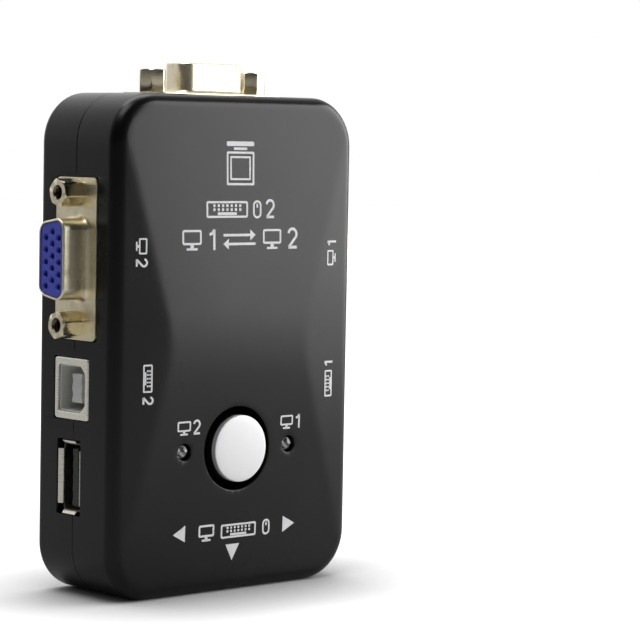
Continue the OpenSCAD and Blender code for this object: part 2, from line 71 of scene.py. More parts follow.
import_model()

import json
from functools import lru_cache
from math import cos, hypot, pi, radians, sin, sqrt, tan

import bmesh
import bpy
from bpy.props import FloatProperty, FloatVectorProperty, PointerProperty
from mathutils import Matrix, Vector
from mathutils.geometry import delaunay_2d_cdt

MM = 0.001
CASE_BODY, BUTTON_BODY = "case", "button"
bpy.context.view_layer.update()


def box_mm(node):
    """A CAD node's lowest and highest corner, in millimetres."""
    low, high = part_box(node)
    return low / MM, high / MM


FRONT_LOW, FRONT_HIGH = box_mm("front_cover")
REAR_LEVEL = -box_mm("rear_cover")[1].y
CAP_LOW, CAP_HIGH = box_mm("select_button")
LAMP_LOW, LAMP_HIGH = box_mm("pc1_lamp")
SCREW_LOW, SCREW_HIGH = box_mm("case_screws")
CASE_W = FRONT_HIGH.x - FRONT_LOW.x
CASE_H = FRONT_HIGH.z - FRONT_LOW.z
MID_Z = CASE_H / 2
RIDGE_LEVEL = -FRONT_LOW.y
SEAM_LEVEL = -0.75
SEAM_GAP = 0.10
LAMP_X = (LAMP_LOW.x + LAMP_HIGH.x) / 2
BUTTON_Z = (CAP_LOW.z + CAP_HIGH.z) / 2
WALL = 2.0
CORNER_R = 9.6


# ---- sizes and colours that the panel shows ------------------------------------------


def size_prop(name, text, value, low=0.0):
    """A length in metres."""
    return FloatProperty(name=name, description=text, default=value, min=low,
                         unit="LENGTH", precision=5)


def tint_prop(name, text, value):
    """A linear colour."""
    return FloatVectorProperty(name=name, description=text, default=value, size=3,
                               subtype="COLOR", min=0.0, max=1.0)


def number_prop(name, text, value, low=0.0, high=1.0):
    """A plain number."""
    return FloatProperty(name=name, description=text, default=value, min=low, max=high,
                         subtype="FACTOR" if high == 1.0 else "NONE")


class CaseSizes(bpy.types.PropertyGroup):
    """The two covers."""

    face_fall: size_prop("Face fall", "How far the face drops from its ridge to its edges", 0.0013)
    ridge_half: size_prop("Half ridge", "Half of the length of the ridge across the face", 0.0163)
    ridge_soft: size_prop("Ridge softness", "Half of the height over which the ridge turns", 0.007)
    hip_soft: number_prop("Hip softness", "How softly the side planes meet the middle", 0.045)
    front_edge: size_prop("Front edge radius", "Rounding between the face and the sides", 0.0025)
    rear_edge: size_prop("Rear edge radius", "Rounding between the back and the sides", 0.0016)
    rim_bevel: size_prop("Rim bevel", "Broken edge round every opening and the seam", 0.00014)
    grid: size_prop("Face grid", "Distance between the points that shape the face", 0.0010, 0.0003)


class ButtonSizes(bpy.types.PropertyGroup):
    """The select button, its well and the lamps beside it."""

    well: size_prop("Well diameter", "Round hole that the button stands in", 0.0164)
    well_edge: size_prop("Well edge radius", "Rounding of the well's rim", 0.00025)
    cap_edge: size_prop("Cap edge radius", "Rounding of the button's top edge", 0.0002)
    dish: size_prop("Cap crown", "How far the middle of the cap stands over its edge", 0.00012)
    # Below this reach the cap's side is black, where it sits in the well.
    lacquer: size_prop("Silver reach", "How far the silver reaches down the cap's side", 0.0012)
    lamp_hole: size_prop("Lamp hole", "Diameter of the lamps' holes in the face", 0.0033)


class PortSizes(bpy.types.PropertyGroup):
    """Details of the sockets that repeat."""

    root: size_prop("Collar root radius", "Sweep from the flange into the collar", 0.0009)
    lip: size_prop("Collar lip radius", "Rounding of the collar's open end", 0.00034)
    nut_chamfer: size_prop("Nut chamfer", "Height of the turned chamfer on a jack nut", 0.0002)
    thread_pitch: size_prop("Thread pitch", "Pitch of the jack nuts' thread", 0.00064, 0.0002)
    hole_sink: size_prop("Hole countersink", "How far a contact's hole opens at its mouth", 0.00018)


class Finishes(bpy.types.PropertyGroup):
    """Colours and grain."""

    case: tint_prop("Case", "Moulded black plastic", (0.0045, 0.0045, 0.0050))
    print_ink: tint_prop("Print", "White printed marks", (0.92, 0.92, 0.93))
    cap: tint_prop("Button", "Satin silver lacquer", (0.88, 0.88, 0.89))
    plating: tint_prop("Plating", "Nickel on the ports and nuts", (0.90, 0.82, 0.60))
    insert: tint_prop("Video insert", "Blue plastic round the contacts", (0.05, 0.075, 0.58))
    gold: tint_prop("Contacts", "Gold flash on the contacts", (0.83, 0.62, 0.28))
    white: tint_prop("Square insert", "Natural white plastic", (0.74, 0.76, 0.73))
    grain_depth: size_prop("Grain depth", "Height of the moulded spark grain", 0.000012)
    grain_size: size_prop("Grain size", "Width of one grain", 0.00034, 0.00005)


class StageSizes(bpy.types.PropertyGroup):
    """Camera and light."""

    lens: FloatProperty(name="Lens", description="Focal length on a 36 mm sensor",
                        default=146.07, min=20, max=400)
    heading: FloatProperty(name="Heading", description="Turn of the view from straight on",
                           default=radians(42.549), subtype="ANGLE", unit="ROTATION")
    dip: FloatProperty(name="Dip", description="How far the view looks down",
                       default=radians(3.948), subtype="ANGLE", unit="ROTATION")
    roll: FloatProperty(name="Roll", description="Turn of the camera about its own axis",
                        default=radians(1.067), subtype="ANGLE", unit="ROTATION")
    distance: size_prop("Distance", "From the camera to the middle of the case", 0.512)
    aside: size_prop("Aside", "How far the middle of the case stands left in the view", 0.02369)
    below: size_prop("Below", "How far the middle of the case stands low in the view", 0.00403)
    key: FloatProperty(name="Key light", description="Power of the large soft light",
                       default=7.8, min=0.0, unit="POWER")
    room: number_prop("Room light", "Brightness of the plain backdrop behind the object", 1.0, 0.0, 5.0)


GROUPS = {"switch_case": CaseSizes, "switch_button": ButtonSizes, "switch_ports": PortSizes,
          "switch_finish": Finishes, "switch_stage": StageSizes}


def settings(group):
    return getattr(bpy.context.scene, group)


def mm(group, name):
    """A length setting, in millimetres."""
    return getattr(settings(group), name) / MM


# ---- mesh helpers --------------------------------------------------------------------


def as_object(name, bm, smooth=32):
    """Turns a bmesh in millimetres into an object in metres, creased over an angle."""
    bmesh.ops.remove_doubles(bm, verts=bm.verts, dist=1e-4)
    loose = [v for v in bm.verts if not v.link_faces]
    bmesh.ops.delete(bm, geom=loose, context="VERTS")
    bmesh.ops.recalc_face_normals(bm, faces=bm.faces)
    bmesh.ops.scale(bm, vec=(MM, MM, MM), verts=bm.verts)
    mesh = bpy.data.meshes.new(name)
    bm.to_mesh(mesh)
    bm.free()
    thing = bpy.data.objects.new(name, mesh)
    bpy.context.scene.collection.objects.link(thing)
    return even(thing, smooth)


def even(thing, smooth=32):
    """Creases a mesh over an angle and lets its large faces rule the shading."""
    thing.data.shade_smooth()
    thing.data.set_sharp_from_angle(angle=radians(smooth))
    weigh = thing.modifiers.new("Even shading", "WEIGHTED_NORMAL")
    weigh.keep_sharp = True
    weigh.weight = 60
    return settle(thing)


def settle(thing):
    """Makes an object's modifiers part of its mesh."""
    seen = thing.evaluated_get(bpy.context.evaluated_depsgraph_get())
    mesh = bpy.data.meshes.new_from_object(seen)
    thing.modifiers.clear()
    old, thing.data = thing.data, mesh
    bpy.data.meshes.remove(old)
    mesh.name = thing.name
    return thing


def bridge(bm, rings, closed=True):
    """Quads between rings of places that match one to one."""
    rows = [[bm.verts.new(p) for p in ring] for ring in rings]
    for low, high in zip(rows, rows[1:]):
        n = len(low)
        for i in range(n if closed else n - 1):
            j = (i + 1) % n
            bm.faces.new((low[i], low[j], high[j], high[i]))
    return rows


def solid(bm, rings):
    """Rings joined by quads, with a face over each end."""
    rows = bridge(bm, rings)
    bm.faces.new(rows[0][::-1])
    bm.faces.new(rows[-1])
    return rows


def lathe(bm, profile, middle=(0, 0), steps=48):
    """Turns a profile of (radius, level) about an axis along z, starting and ending on it
    or going all the way round a ring."""
    whole = profile[0][0] > 0
    line = profile + profile[:1] if whole else profile
    rings = []
    for r, level in line:
        if r == 0:
            rings.append([bm.verts.new((middle[0], middle[1], level))])
            continue
        rings.append([bm.verts.new((middle[0] + r * cos(2 * pi * i / steps),
                                    middle[1] + r * sin(2 * pi * i / steps), level))
                      for i in range(steps)])
    for low, high in zip(rings, rings[1:]):
        for i in range(steps):
            j = (i + 1) % steps
            corners = [low[i % len(low)], low[j % len(low)], high[j % len(high)], high[i % len(high)]]
            bm.faces.new(list(dict.fromkeys(corners)))


def holds(loop, x, y):
    """Whether a loop of points has (x, y) inside."""
    odd = False
    for (ax, ay), (bx, by) in zip(loop, loop[1:] + loop[:1]):
        if (ay > y) != (by > y) and x < ax + (y - ay) * (bx - ax) / (by - ay):
            odd = not odd
    return odd


def triangles(outline, holes, extra=()):
    """Triangles that fill an outline round its holes: their points and corners."""
    points, edges = [], []
    for loop in [outline, *holes]:
        start, n = len(points), len(loop)
        points += [Vector(p) for p in loop]
        edges += [(start + i, start + (i + 1) % n) for i in range(n)]
    points += [Vector(p) for p in extra]
    places, _, corners = delaunay_2d_cdt(points, edges, [], 0, 1e-7)[:3]
    kept = []
    for t in corners:
        x = sum(places[i][0] for i in t) / 3
        y = sum(places[i][1] for i in t) / 3
        if holds(outline, x, y) and not any(holds(hole, x, y) for hole in holes):
            kept.append(t)
    return [(round(p[0], 4), round(p[1], 4)) for p in places], kept


def fill(bm, outline, holes, level, extra=()):
    """A flat or shaped sheet: level is a number or a function of x and y."""
    places, corners = triangles(outline, holes, extra)
    height = level if callable(level) else lambda x, y: level
    verts = [bm.verts.new((x, y, height(x, y))) for x, y in places]
    for t in corners:
        bm.faces.new([verts[i] for i in t])


def circle(x, y, r, steps=32, turn=0.0):
    return [(x + r * cos(turn + 2 * pi * i / steps), y + r * sin(turn + 2 * pi * i / steps))
            for i in range(steps)]


def round_box(w, h, r, steps=5, x=0.0, y=0.0):
    """Outline of a rectangle with round corners."""
    points = []
    for q, (sx, sy) in enumerate([(1, 1), (-1, 1), (-1, -1), (1, -1)]):
        for k in range(steps + 1):
            a = pi / 2 * (q + k / steps)
            points.append((x + sx * (w / 2 - r) + r * cos(a), y + sy * (h / 2 - r) + r * sin(a)))
    return points


def at(loop, level):
    return [(x, y, level) for x, y in loop]


def cut_box(w, h, cut):
    """Outline of a square port: the two corners towards the face are cut off."""
    a, b = w / 2, h / 2
    return [(-a, -b), (a, -b), (a, b - cut), (a - cut, b), (cut - a, b), (-a, b - cut)]


def rounded(loop, r, steps=3):
    """A polygon's corners rounded."""
    points = []
    n = len(loop)
    for i, (x, y) in enumerate(loop):
        here = Vector((x, y))
        before = (Vector(loop[i - 1]) - here).normalized()
        after = (Vector(loop[(i + 1) % n]) - here).normalized()
        half = before.angle(after) / 2
        reach = r / tan(half)
        middle = here + (before + after).normalized() * (r / sin(half))
        start = here + before * reach - middle
        end = here + after * reach - middle
        sweep = start.angle_signed(end)
        for k in range(steps + 1):
            arm = start.copy()
            arm.rotate(Matrix.Rotation(-sweep * k / steps, 2))
            points.append(tuple(middle + arm))
    return points


def seat(thing, matrix):
    """Moves a finished mesh from its own axes, in metres, to its place."""
    thing.data.transform(matrix)
    return thing


PLAN = Matrix(((1, 0, 0, 0), (0, 0, -1, 0), (0, 1, 0, 0), (0, 0, 0, 1)))


def port_seat(turn, back, up, half):
    """Place of a port's axes: x along it, y to the face, z outwards."""
    return (Matrix.Translation((0, back * MM, up * MM)) @ Matrix.Rotation(radians(turn), 4, "Y")
            @ Matrix.Translation((0, 0, half * MM)) @ Matrix.Rotation(pi, 4, "Z"))


def on_side(turn):
    return abs(turn) == 90


def seat_of(node, turn, middle=True, lip=0.0):
    """A port's place, from a CAD node that is even about the port's axis in height and
    either even in thickness or ends a known way towards the face."""
    low, high = box_mm(node)
    centre = (low + high) / 2
    back = centre.y if middle else low.y + lip
    half = CASE_W / 2 if on_side(turn) else CASE_H / 2
    return port_seat(turn, back, centre.z if on_side(turn) else CASE_H / 2, half)


# ---- case ----------------------------------------------------------------------------


class Skin:
    """A wall with an outer and an inner side: each of its points is a pair of places."""

    def __init__(self):
        self.index = {}
        self.outer = []
        self.inner = []
        self.faces = []

    def point(self, outer, inner):
        key = tuple(round(c, 3) for c in outer)
        if key not in self.index:
            self.index[key] = len(self.outer)
            self.outer.append(outer)
            self.inner.append(inner)
        return self.index[key]

    def face(self, *pairs):
        ids = list(dict.fromkeys(self.point(*pair) for pair in pairs))
        if len(ids) > 2:
            self.faces.append(ids)

    def strip(self, rows, closed=True):
        """Quads between rows of pairs."""
        for low, high in zip(rows, rows[1:]):
            n = len(low)
            for i in range(n if closed else n - 1):
                j = (i + 1) % n
                self.face(low[i], low[j], high[j], high[i])

    def bmesh(self):
        """The closed wall; the rims of its outer side carry a bevel weight."""
        bm = bmesh.new()
        outer = [bm.verts.new(p) for p in self.outer]
        inner = [bm.verts.new(p) for p in self.inner]
        used = {}
        for ids in self.faces:
            bm.faces.new([outer[i] for i in ids])
            bm.faces.new([inner[i] for i in reversed(ids)])
            for a, b in zip(ids, ids[1:] + ids[:1]):
                used.setdefault(frozenset((a, b)), []).append((a, b))
        weight = bm.edges.layers.float.new("bevel_weight_edge")
        for uses in used.values():
            if len(uses) == 1:
                a, b = uses[0]
                bm.faces.new((outer[b], outer[a], inner[a], inner[b]))
                bm.edges.get((outer[a], outer[b]))[weight] = 1.0
        return bm


class Notch:
    """An opening in the case's side walls, from the seam towards the face or the back."""

    corner = 0.35

    def __init__(self, turn, middle, half, low, high):
        self.turn = turn
        self.middle = middle
        self.half = half
        self.low = low
        self.high = high

    def stops(self):
        """Places along the side where the opening's edge bends."""
        steps = [0, 0.134, 0.5, 1]
        return [self.middle + s * (self.half - self.corner * t) for s in (-1, 1) for t in steps]

    def edge(self, place, up):
        """Level of the opening's edge at a place along the side, or None outside it."""
        inwards = self.half - abs(place - self.middle)
        if inwards < -0.001:
            return None
        short = max(self.corner - max(inwards, 0), 0)
        drop = self.corner - sqrt(max(self.corner ** 2 - short ** 2, 0))
        return self.high - drop if up else self.low + drop


@lru_cache
def notches():
    """The openings, read off the sockets: each is a hair wider than what stands in it."""
    found = []
    play = 0.2
    wall = 0.45
    kinds = [("monitor_port_shell", 0, 0.0, 0.0), ("pc1_video_shell", 90, 0.0, 0.0),
             ("pc2_video_shell", -90, 0.0, 0.0), ("pc1_square_insulator", 90, wall, 0.0),
             ("pc2_square_insulator", -90, wall, 0.0), ("right_flat_shell", 90, 0.0, FLAT_REACH),
             ("left_flat_shell", -90, 0.0, FLAT_REACH), ("bottom_flat_shell", 180, 0.0, FLAT_REACH)]
    for node, turn, grow, reach in kinds:
        low, high = box_mm(node)
        middle = (low + high) / 2
        half = (high - low) / 2
        place = middle.z if on_side(turn) else middle.x
        along = half.z if on_side(turn) else half.x
        back = low.y + reach if reach else middle.y
        tall = reach or half.y + grow
        found.append(Notch(turn, place, along + grow + play / 2, -back - tall - play / 2,
                           -back + tall + play / 2))
    return found


def spread(stops, low, high, step=1.7):
    """Places from low to high that keep every stop and leave no gap over step."""
    kept = sorted({round(s, 4) for s in stops if low < s < high} | {low, high})
    filled = [kept[0]]
    for s in kept[1:]:
        n = max(1, round((s - filled[-1]) / step))
        start = filled[-1]
        filled += [start + (s - start) * k / n for k in range(1, n + 1)]
    return filled


def case_stations():
    """Stations round the case's outline: corner centre, outward normal, side and place."""
    cx, cz = CASE_W / 2 - CORNER_R, MID_Z - CORNER_R
    sides = [(90, (1, 0)), (0, (0, 1)), (-90, (-1, 0)), (180, (0, -1))]
    stations = []
    steps = 14
    for q, (turn, (nx, nz)) in enumerate(sides):
        reach = cz if on_side(turn) else cx
        shift = MID_Z if on_side(turn) else 0.0
        stops = [s for n in notches() if n.turn == turn for s in n.stops()]
        places = spread(stops, shift - reach, shift + reach)
        if q in (1, 2):
            places.reverse()
        for place in places:
            core = (nx * cx, place) if on_side(turn) else (place, MID_Z + nz * cz)
            stations.append((core, (nx, nz), turn, place))
        for k in range(1, steps):
            a = pi / 2 * (q + k / steps)
            corner = [(cx, MID_Z + cz), (-cx, MID_Z + cz), (-cx, MID_Z - cz), (cx, MID_Z - cz)][q]
            stations.append((corner, (cos(a), sin(a)), None, None))
    return stations


def spot(station, inset):
    """A station's place, drawn in from the outline by inset."""
    (x, z), (nx, nz) = station[0], station[1]
    return round(x + nx * (CORNER_R - inset), 3), round(z + nz * (CORNER_R - inset), 3)


def opening_at(station, up):
    """Level of an opening's edge at a station, or None."""
    for n in notches():
        if n.turn == station[2]:
            edge = n.edge(station[3], up)
            if edge is not None:
                return edge, n
    return None


def face_level(x, z):
    """Height of the face: four shallow planes that fall from a short ridge, softly joined."""
    sizes = settings("switch_case")
    fall, ridge, soft = (mm("switch_case", n) for n in ("face_fall", "ridge_half", "ridge_soft"))
    k = sizes.hip_soft
    up = abs(z - MID_Z)
    ends = (up if up > soft else (up * up + soft * soft) / (2 * soft)) / MID_Z
    side = (abs(x) - ridge) / (CASE_W / 2 - ridge)
    blend = max(k - abs(ends - side), 0.0) / k
    return RIDGE_LEVEL - fall * (max(ends, side) + blend * blend * k / 4)


def side_wall(skin, stations, rim, inner_at, up):
    """The wall between a cover's rounded edge and the seam, with its openings left out.
    rim gives the level where the wall meets the rounded edge."""
    n = len(stations)

    def pair(s, level):
        x, z = spot(s, 0)
        ix, iz = spot(s, WALL)
        return (x, z, level), (ix, iz, inner_at(level))

    for i in range(n):
        a, b = stations[i], stations[(i + 1) % n]
        ea, eb = opening_at(a, up), opening_at(b, up)
        if ea and eb and ea[1] is eb[1]:
            skin.face(pair(a, rim(a)), pair(b, rim(b)), pair(b, eb[0]), pair(a, ea[0]))
            continue
        corners = [pair(a, rim(a)), pair(b, rim(b))]
        if eb:
            corners.append(pair(b, eb[0]))
        seam = SEAM_LEVEL + (SEAM_GAP if up else -SEAM_GAP) / 2
        corners += [pair(b, seam), pair(a, seam)]
        if ea:
            corners.append(pair(a, ea[0]))
        skin.face(*corners)


def hole_row(loop, x0, z0, r, level, inner_r, inner_level):
    """A row of pairs round a hole: outer and inner radius with their levels, of which the
    outer may be a function of the place."""
    row = []
    for x, z in loop:
        d = Vector((x - x0, z - z0)).normalized()
        high = level(x, z) if callable(level) else level
        row.append(((x0 + d.x * r, z0 + d.y * r, high),
                    (x0 + d.x * inner_r, z0 + d.y * inner_r, inner_level)))
    return row


def ring_round(x, z, r, steps=64):
    return [(round(px, 3), round(pz, 3)) for px, pz in circle(x, z, r, steps)]


def cover_finish(name, skin, extras=()):
    """The cover as an object, its outer rims broken by a small bevel."""
    bm = skin.bmesh()
    for add in extras:
        add(bm)
    cover = as_object(name, bm, 180)
    bevel = cover.modifiers.new("Broken rims", "BEVEL")
    bevel.limit_method = "WEIGHT"
    bevel.width = settings("switch_case").rim_bevel
    bevel.segments = 2
    bevel.use_clamp_overlap = True
    even(settle(cover), 38)
    cover.data.transform(PLAN)
    return cover


def boss(x, z, r, bore, low, high):
    """A screw boss, as a turned ring inside a cover."""
    return lambda bm: lathe(bm, [(r, low), (r, high), (bore, high), (bore, low)], (x, z), 32)


SCREW_HEAD_R = 2.5
SCREW_R = 1.3
SCREW_SINK = 1.5


def screw_places():
    x = (SCREW_HIGH.x - SCREW_LOW.x) / 2 - SCREW_HEAD_R
    zs = (SCREW_LOW.z + SCREW_HEAD_R, SCREW_HIGH.z - SCREW_HEAD_R)
    return [(s * x, z) for s in (-1, 1) for z in zs]


class SWITCH_OT_front_cover(bpy.types.Operator):
    """Front cover: crowned face, rounded edges, button well, lamp holes and port openings"""

    bl_idname = "switch.front_cover"
    bl_label = "Front cover"

    def execute(self, context):
        edge = mm("switch_case", "front_edge")
        inner_edge = 0.5
        ceiling = RIDGE_LEVEL - mm("switch_case", "face_fall") - WALL
        stations = case_stations()
        skin = Skin()

        def rim(s):
            return face_level(*spot(s, edge)) - edge

        def inner_at(level):
            return min(level, ceiling - inner_edge)

        side_wall(skin, stations, rim, inner_at, True)
        rows = []
        steps = 7
        for k in range(steps + 1):
            a = pi / 2 * k / steps
            row = []
            for s in stations:
                x, z = spot(s, edge * (1 - cos(a)))
                ix, iz = spot(s, WALL + inner_edge * (1 - cos(a)))
                row.append(((x, z, rim(s) + edge * sin(a)),
                            (ix, iz, ceiling - inner_edge + inner_edge * sin(a))))
            rows.append(row)
        skin.strip(rows)

        well = mm("switch_button", "well") / 2
        soft = mm("switch_button", "well_edge")
        lamp = mm("switch_button", "lamp_hole") / 2
        lamp_soft = 0.12
        tube_end = ceiling - 3
        tube_wall = 1.2

        def pushed(x, z):
            """Inner place of a face point: the well's tube wall pushes the ceiling away."""
            r = hypot(x, z - BUTTON_Z)
            near, far = well + soft, well + 2.8
            if r >= far:
                return x, z
            wide = well + tube_wall + 0.2
            s = (wide + (r - near) * (far - wide) / (far - near)) / r
            return x * s, BUTTON_Z + (z - BUTTON_Z) * s

        def top(x, z):
            return (x, z, face_level(x, z)), (*pushed(x, z), ceiling)

        outline = [spot(s, edge) for s in stations]
        holes = [ring_round(0, BUTTON_Z, well + soft, 72)]
        holes += [ring_round(s * LAMP_X, BUTTON_Z, lamp + lamp_soft, 28) for s in (-1, 1)]
        step = mm("switch_case", "grid")
        grid = []
        for i in range(-int(CASE_W / step / 2), int(CASE_W / step / 2) + 1):
            for j in range(int(CASE_H / step) + 1):
                x, z = i * step, (j + 0.5 * (i % 2)) * step
                inside = spot_inside(x, z, edge + 0.6)
                clear = hypot(x, z - BUTTON_Z) > well + soft + 0.6
                clear = clear and hypot(abs(x) - LAMP_X, z - BUTTON_Z) > lamp + lamp_soft + 0.4
                if inside and clear:
                    grid.append((x, z))
        places, corners = triangles(outline, holes, grid)
        for t in corners:
            skin.face(*(top(*places[i]) for i in t))

        def round_hole(loop, x0, z0, r, roll, inner_r, low, inner_top):
            rows = [[top(*p) for p in loop]]
            for k in range(1, 4):
                a = pi / 2 * k / 3
                rows.append(hole_row(loop, x0, z0, r + roll * (1 - sin(a)),
                                     lambda x, z, a=a: face_level(x, z) - roll * (1 - cos(a)),
                                     inner_r, inner_top))
            if low is not None:
                rows.append(hole_row(loop, x0, z0, r, low, inner_r, low))
            skin.strip(rows)

        round_hole(holes[0], 0, BUTTON_Z, well, soft, well + tube_wall, tube_end, ceiling - 0.2)
        for s, hole in zip((-1, 1), holes[1:]):
            round_hole(hole, s * LAMP_X, BUTTON_Z, lamp, lamp_soft, lamp, None, ceiling)
        board_top = -box_mm("circuit_board")[0].y
        bosses = [boss(x, z, 3.2, SCREW_R, board_top, ceiling + 0.3) for x, z in screw_places()]
        cover = cover_finish("front_cover_skin", skin, bosses)
        cover.data.materials.append(case_plastic())
        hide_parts("front_cover")
        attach(cover, CASE_BODY)
        return {"FINISHED"}


def spot_inside(x, z, inset):
    """Whether a point of the face lies within the outline, drawn in by inset."""
    cx, cz = CASE_W / 2 - CORNER_R, MID_Z - CORNER_R
    dx, dz = max(abs(x) - cx, 0), max(abs(z - MID_Z) - cz, 0)
    return hypot(dx, dz) < CORNER_R - inset


class SWITCH_OT_rear_cover(bpy.types.Operator):
    """Rear cover: flat back with four sunk screw holes"""

    bl_idname = "switch.rear_cover"
    bl_label = "Rear cover"

    def execute(self, context):
        edge = mm("switch_case", "rear_edge")
        inner_edge = 0.4
        floor = REAR_LEVEL + WALL
        stations = case_stations()
        skin = Skin()

        def inner_at(level):
            return max(level, floor + inner_edge)

        side_wall(skin, stations, lambda s: REAR_LEVEL + edge, inner_at, False)
        rows = []
        steps = 5
        for k in range(steps + 1):
            a = pi / 2 * k / steps
            row = []
            for s in stations:
                x, z = spot(s, edge * (1 - cos(a)))
                ix, iz = spot(s, WALL + inner_edge * (1 - cos(a)))
                row.append(((x, z, REAR_LEVEL + edge - edge * sin(a)),
                            (ix, iz, floor + inner_edge - inner_edge * sin(a))))
            rows.append(row)
        skin.strip(rows)
        sink, bore, outer = SCREW_HEAD_R + 0.3, SCREW_R + 0.2, 3.5
        roll = 0.2
        holes = [ring_round(x, z, sink + roll, 32) for x, z in screw_places()]

        def flat(x, z):
            ix, iz = x, z
            for sx, sz in screw_places():
                r = hypot(x - sx, z - sz)
                if r < outer + 0.3:
                    ix, iz = (sx + (x - sx) / r * (outer + 0.15), sz + (z - sz) / r * (outer + 0.15))
            return (x, z, REAR_LEVEL), (ix, iz, floor)

        places, corners = triangles([spot(s, edge) for s in stations], holes)
        for t in corners:
            skin.face(*(flat(*places[i]) for i in t))
        board_under = -box_mm("circuit_board")[1].y
        for (sx, sz), loop in zip(screw_places(), holes):
            profile = [(sink + roll * 0.3, REAR_LEVEL + roll * 0.3, outer, floor + 0.1),
                       (sink, REAR_LEVEL + roll, outer, floor + 0.2),
                       (sink, REAR_LEVEL + SCREW_SINK, outer, floor + 0.4),
                       (bore, REAR_LEVEL + SCREW_SINK, outer, floor + 0.6),
                       (bore, board_under, outer, board_under)]
            rows = [[flat(*p) for p in loop]]
            rows += [hole_row(loop, sx, sz, *radii) for radii in profile]
            skin.strip(rows)
        cover = cover_finish("rear_cover_skin", skin)
        cover.data.materials.append(case_plastic())
        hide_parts("rear_cover")
        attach(cover, CASE_BODY)
        return {"FINISHED"}


# ---- button and lamps ----------------------------------------------------------------


def turned(name, profile, x, z, material, steps=64, smooth=32):
    """A turned piece that stands on the face at x, z, its profile in levels."""
    bm = bmesh.new()
    lathe(bm, profile, (x, z), steps)
    thing = as_object(name, bm, smooth)
    thing.data.transform(PLAN)
    thing.data.materials.append(material)
    return thing


class SWITCH_OT_select_cap(bpy.types.Operator):
    """Round select button: crowned top, rounded edge, hollow skirt and stem"""

    bl_idname = "switch.select_cap"
    bl_label = "Select button"

    def execute(self, context):
        top, foot = -CAP_LOW.y, -CAP_HIGH.y
        r = (CAP_HIGH.x - CAP_LOW.x) / 2
        edge, crown = mm("switch_button", "cap_edge"), mm("switch_button", "dish")
        wall, stem = 1.2, 2.75
        flat = r - edge
        steps = 6
        profile = [(0, top)]
        for k in range(1, steps + 1):
            profile.append((flat * k / steps, top - crown * (k / steps) ** 2))
        for a in (18, 36, 54, 72, 90):
            profile.append((flat + edge * sin(radians(a)), top - crown - edge * (1 - cos(radians(a)))))
        profile.append((r, top - mm("switch_button", "lacquer")))
        profile += [(r, foot + 0.2), (r - 0.2, foot), (r - wall, foot), (r - wall, top - 1.6),
                    (stem, top - 1.6), (stem, foot), (0, foot)]
        cap = turned("select_cap", profile, 0, BUTTON_Z, satin_lacquer(), 96)
        # The cap is silver on its top and down its side by a set reach, and black below that, where it
        # sits in the well.
        cap.data.materials.append(plain_black())
        silver_end = -(top - mm("switch_button", "lacquer")) * MM
        for face in cap.data.polygons:
            face.material_index = 1 if face.center.y > silver_end else 0
        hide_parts("select_button")
        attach(cap, BUTTON_BODY)
        return {"FINISHED"}


class SWITCH_OT_lamps(bpy.types.Operator):
    """Two clear lamps: a domed lens with a foot, and the metal cup and post inside it"""

    bl_idname = "switch.lamps"
    bl_label = "Lamps"

    def execute(self, context):
        for name, side in (("pc1", 1), ("pc2", -1)):
            low, high = box_mm(name + "_lamp")
            x = (low.x + high.x) / 2
            r = (high.x - low.x) / 2 - 0.4
            top, foot = -low.y, -high.y
            profile = [(0, top)]
            for k in range(1, 10):
                a = pi / 2 * k / 9
                profile.append((r * sin(a), top - r * (1 - cos(a))))
            profile += [(r, foot + 0.9), (r + 0.35, foot + 0.8), (r + 0.4, foot + 0.7),
                        (r + 0.4, foot), (0, foot)]
            lens = turned(name + "_lens", profile, x, BUTTON_Z, clear_resin(), 32, 50)
            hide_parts(name + "_lamp")
            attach(lens, CASE_BODY)
            cup_top = top - 1.25
            bm = bmesh.new()
            lathe(bm, [(0, cup_top - 0.65), (0.35, cup_top - 0.6), (0.75, cup_top - 0.05),
                       (0.95, cup_top), (0.95, cup_top - 0.9), (0, cup_top - 0.9)], (x, BUTTON_Z), 24)
            for s, wide, head in ((0, 0.25, cup_top - 0.85), (0.95, 0.2, cup_top + 0.1)):
                loop = round_box(wide * 2, wide * 1.4, 0.08, 2, x + side * s * 0.9, BUTTON_Z)
                solid(bm, [at(loop, foot + 0.3), at(loop, head)])
            inside = as_object(name + "_lamp_frame", bm)
            inside.data.transform(PLAN)
            inside.data.materials.append(bright_tin())
            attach(inside, CASE_BODY)
        return {"FINISHED"}


# ---- copies in rows ------------------------------------------------------------------


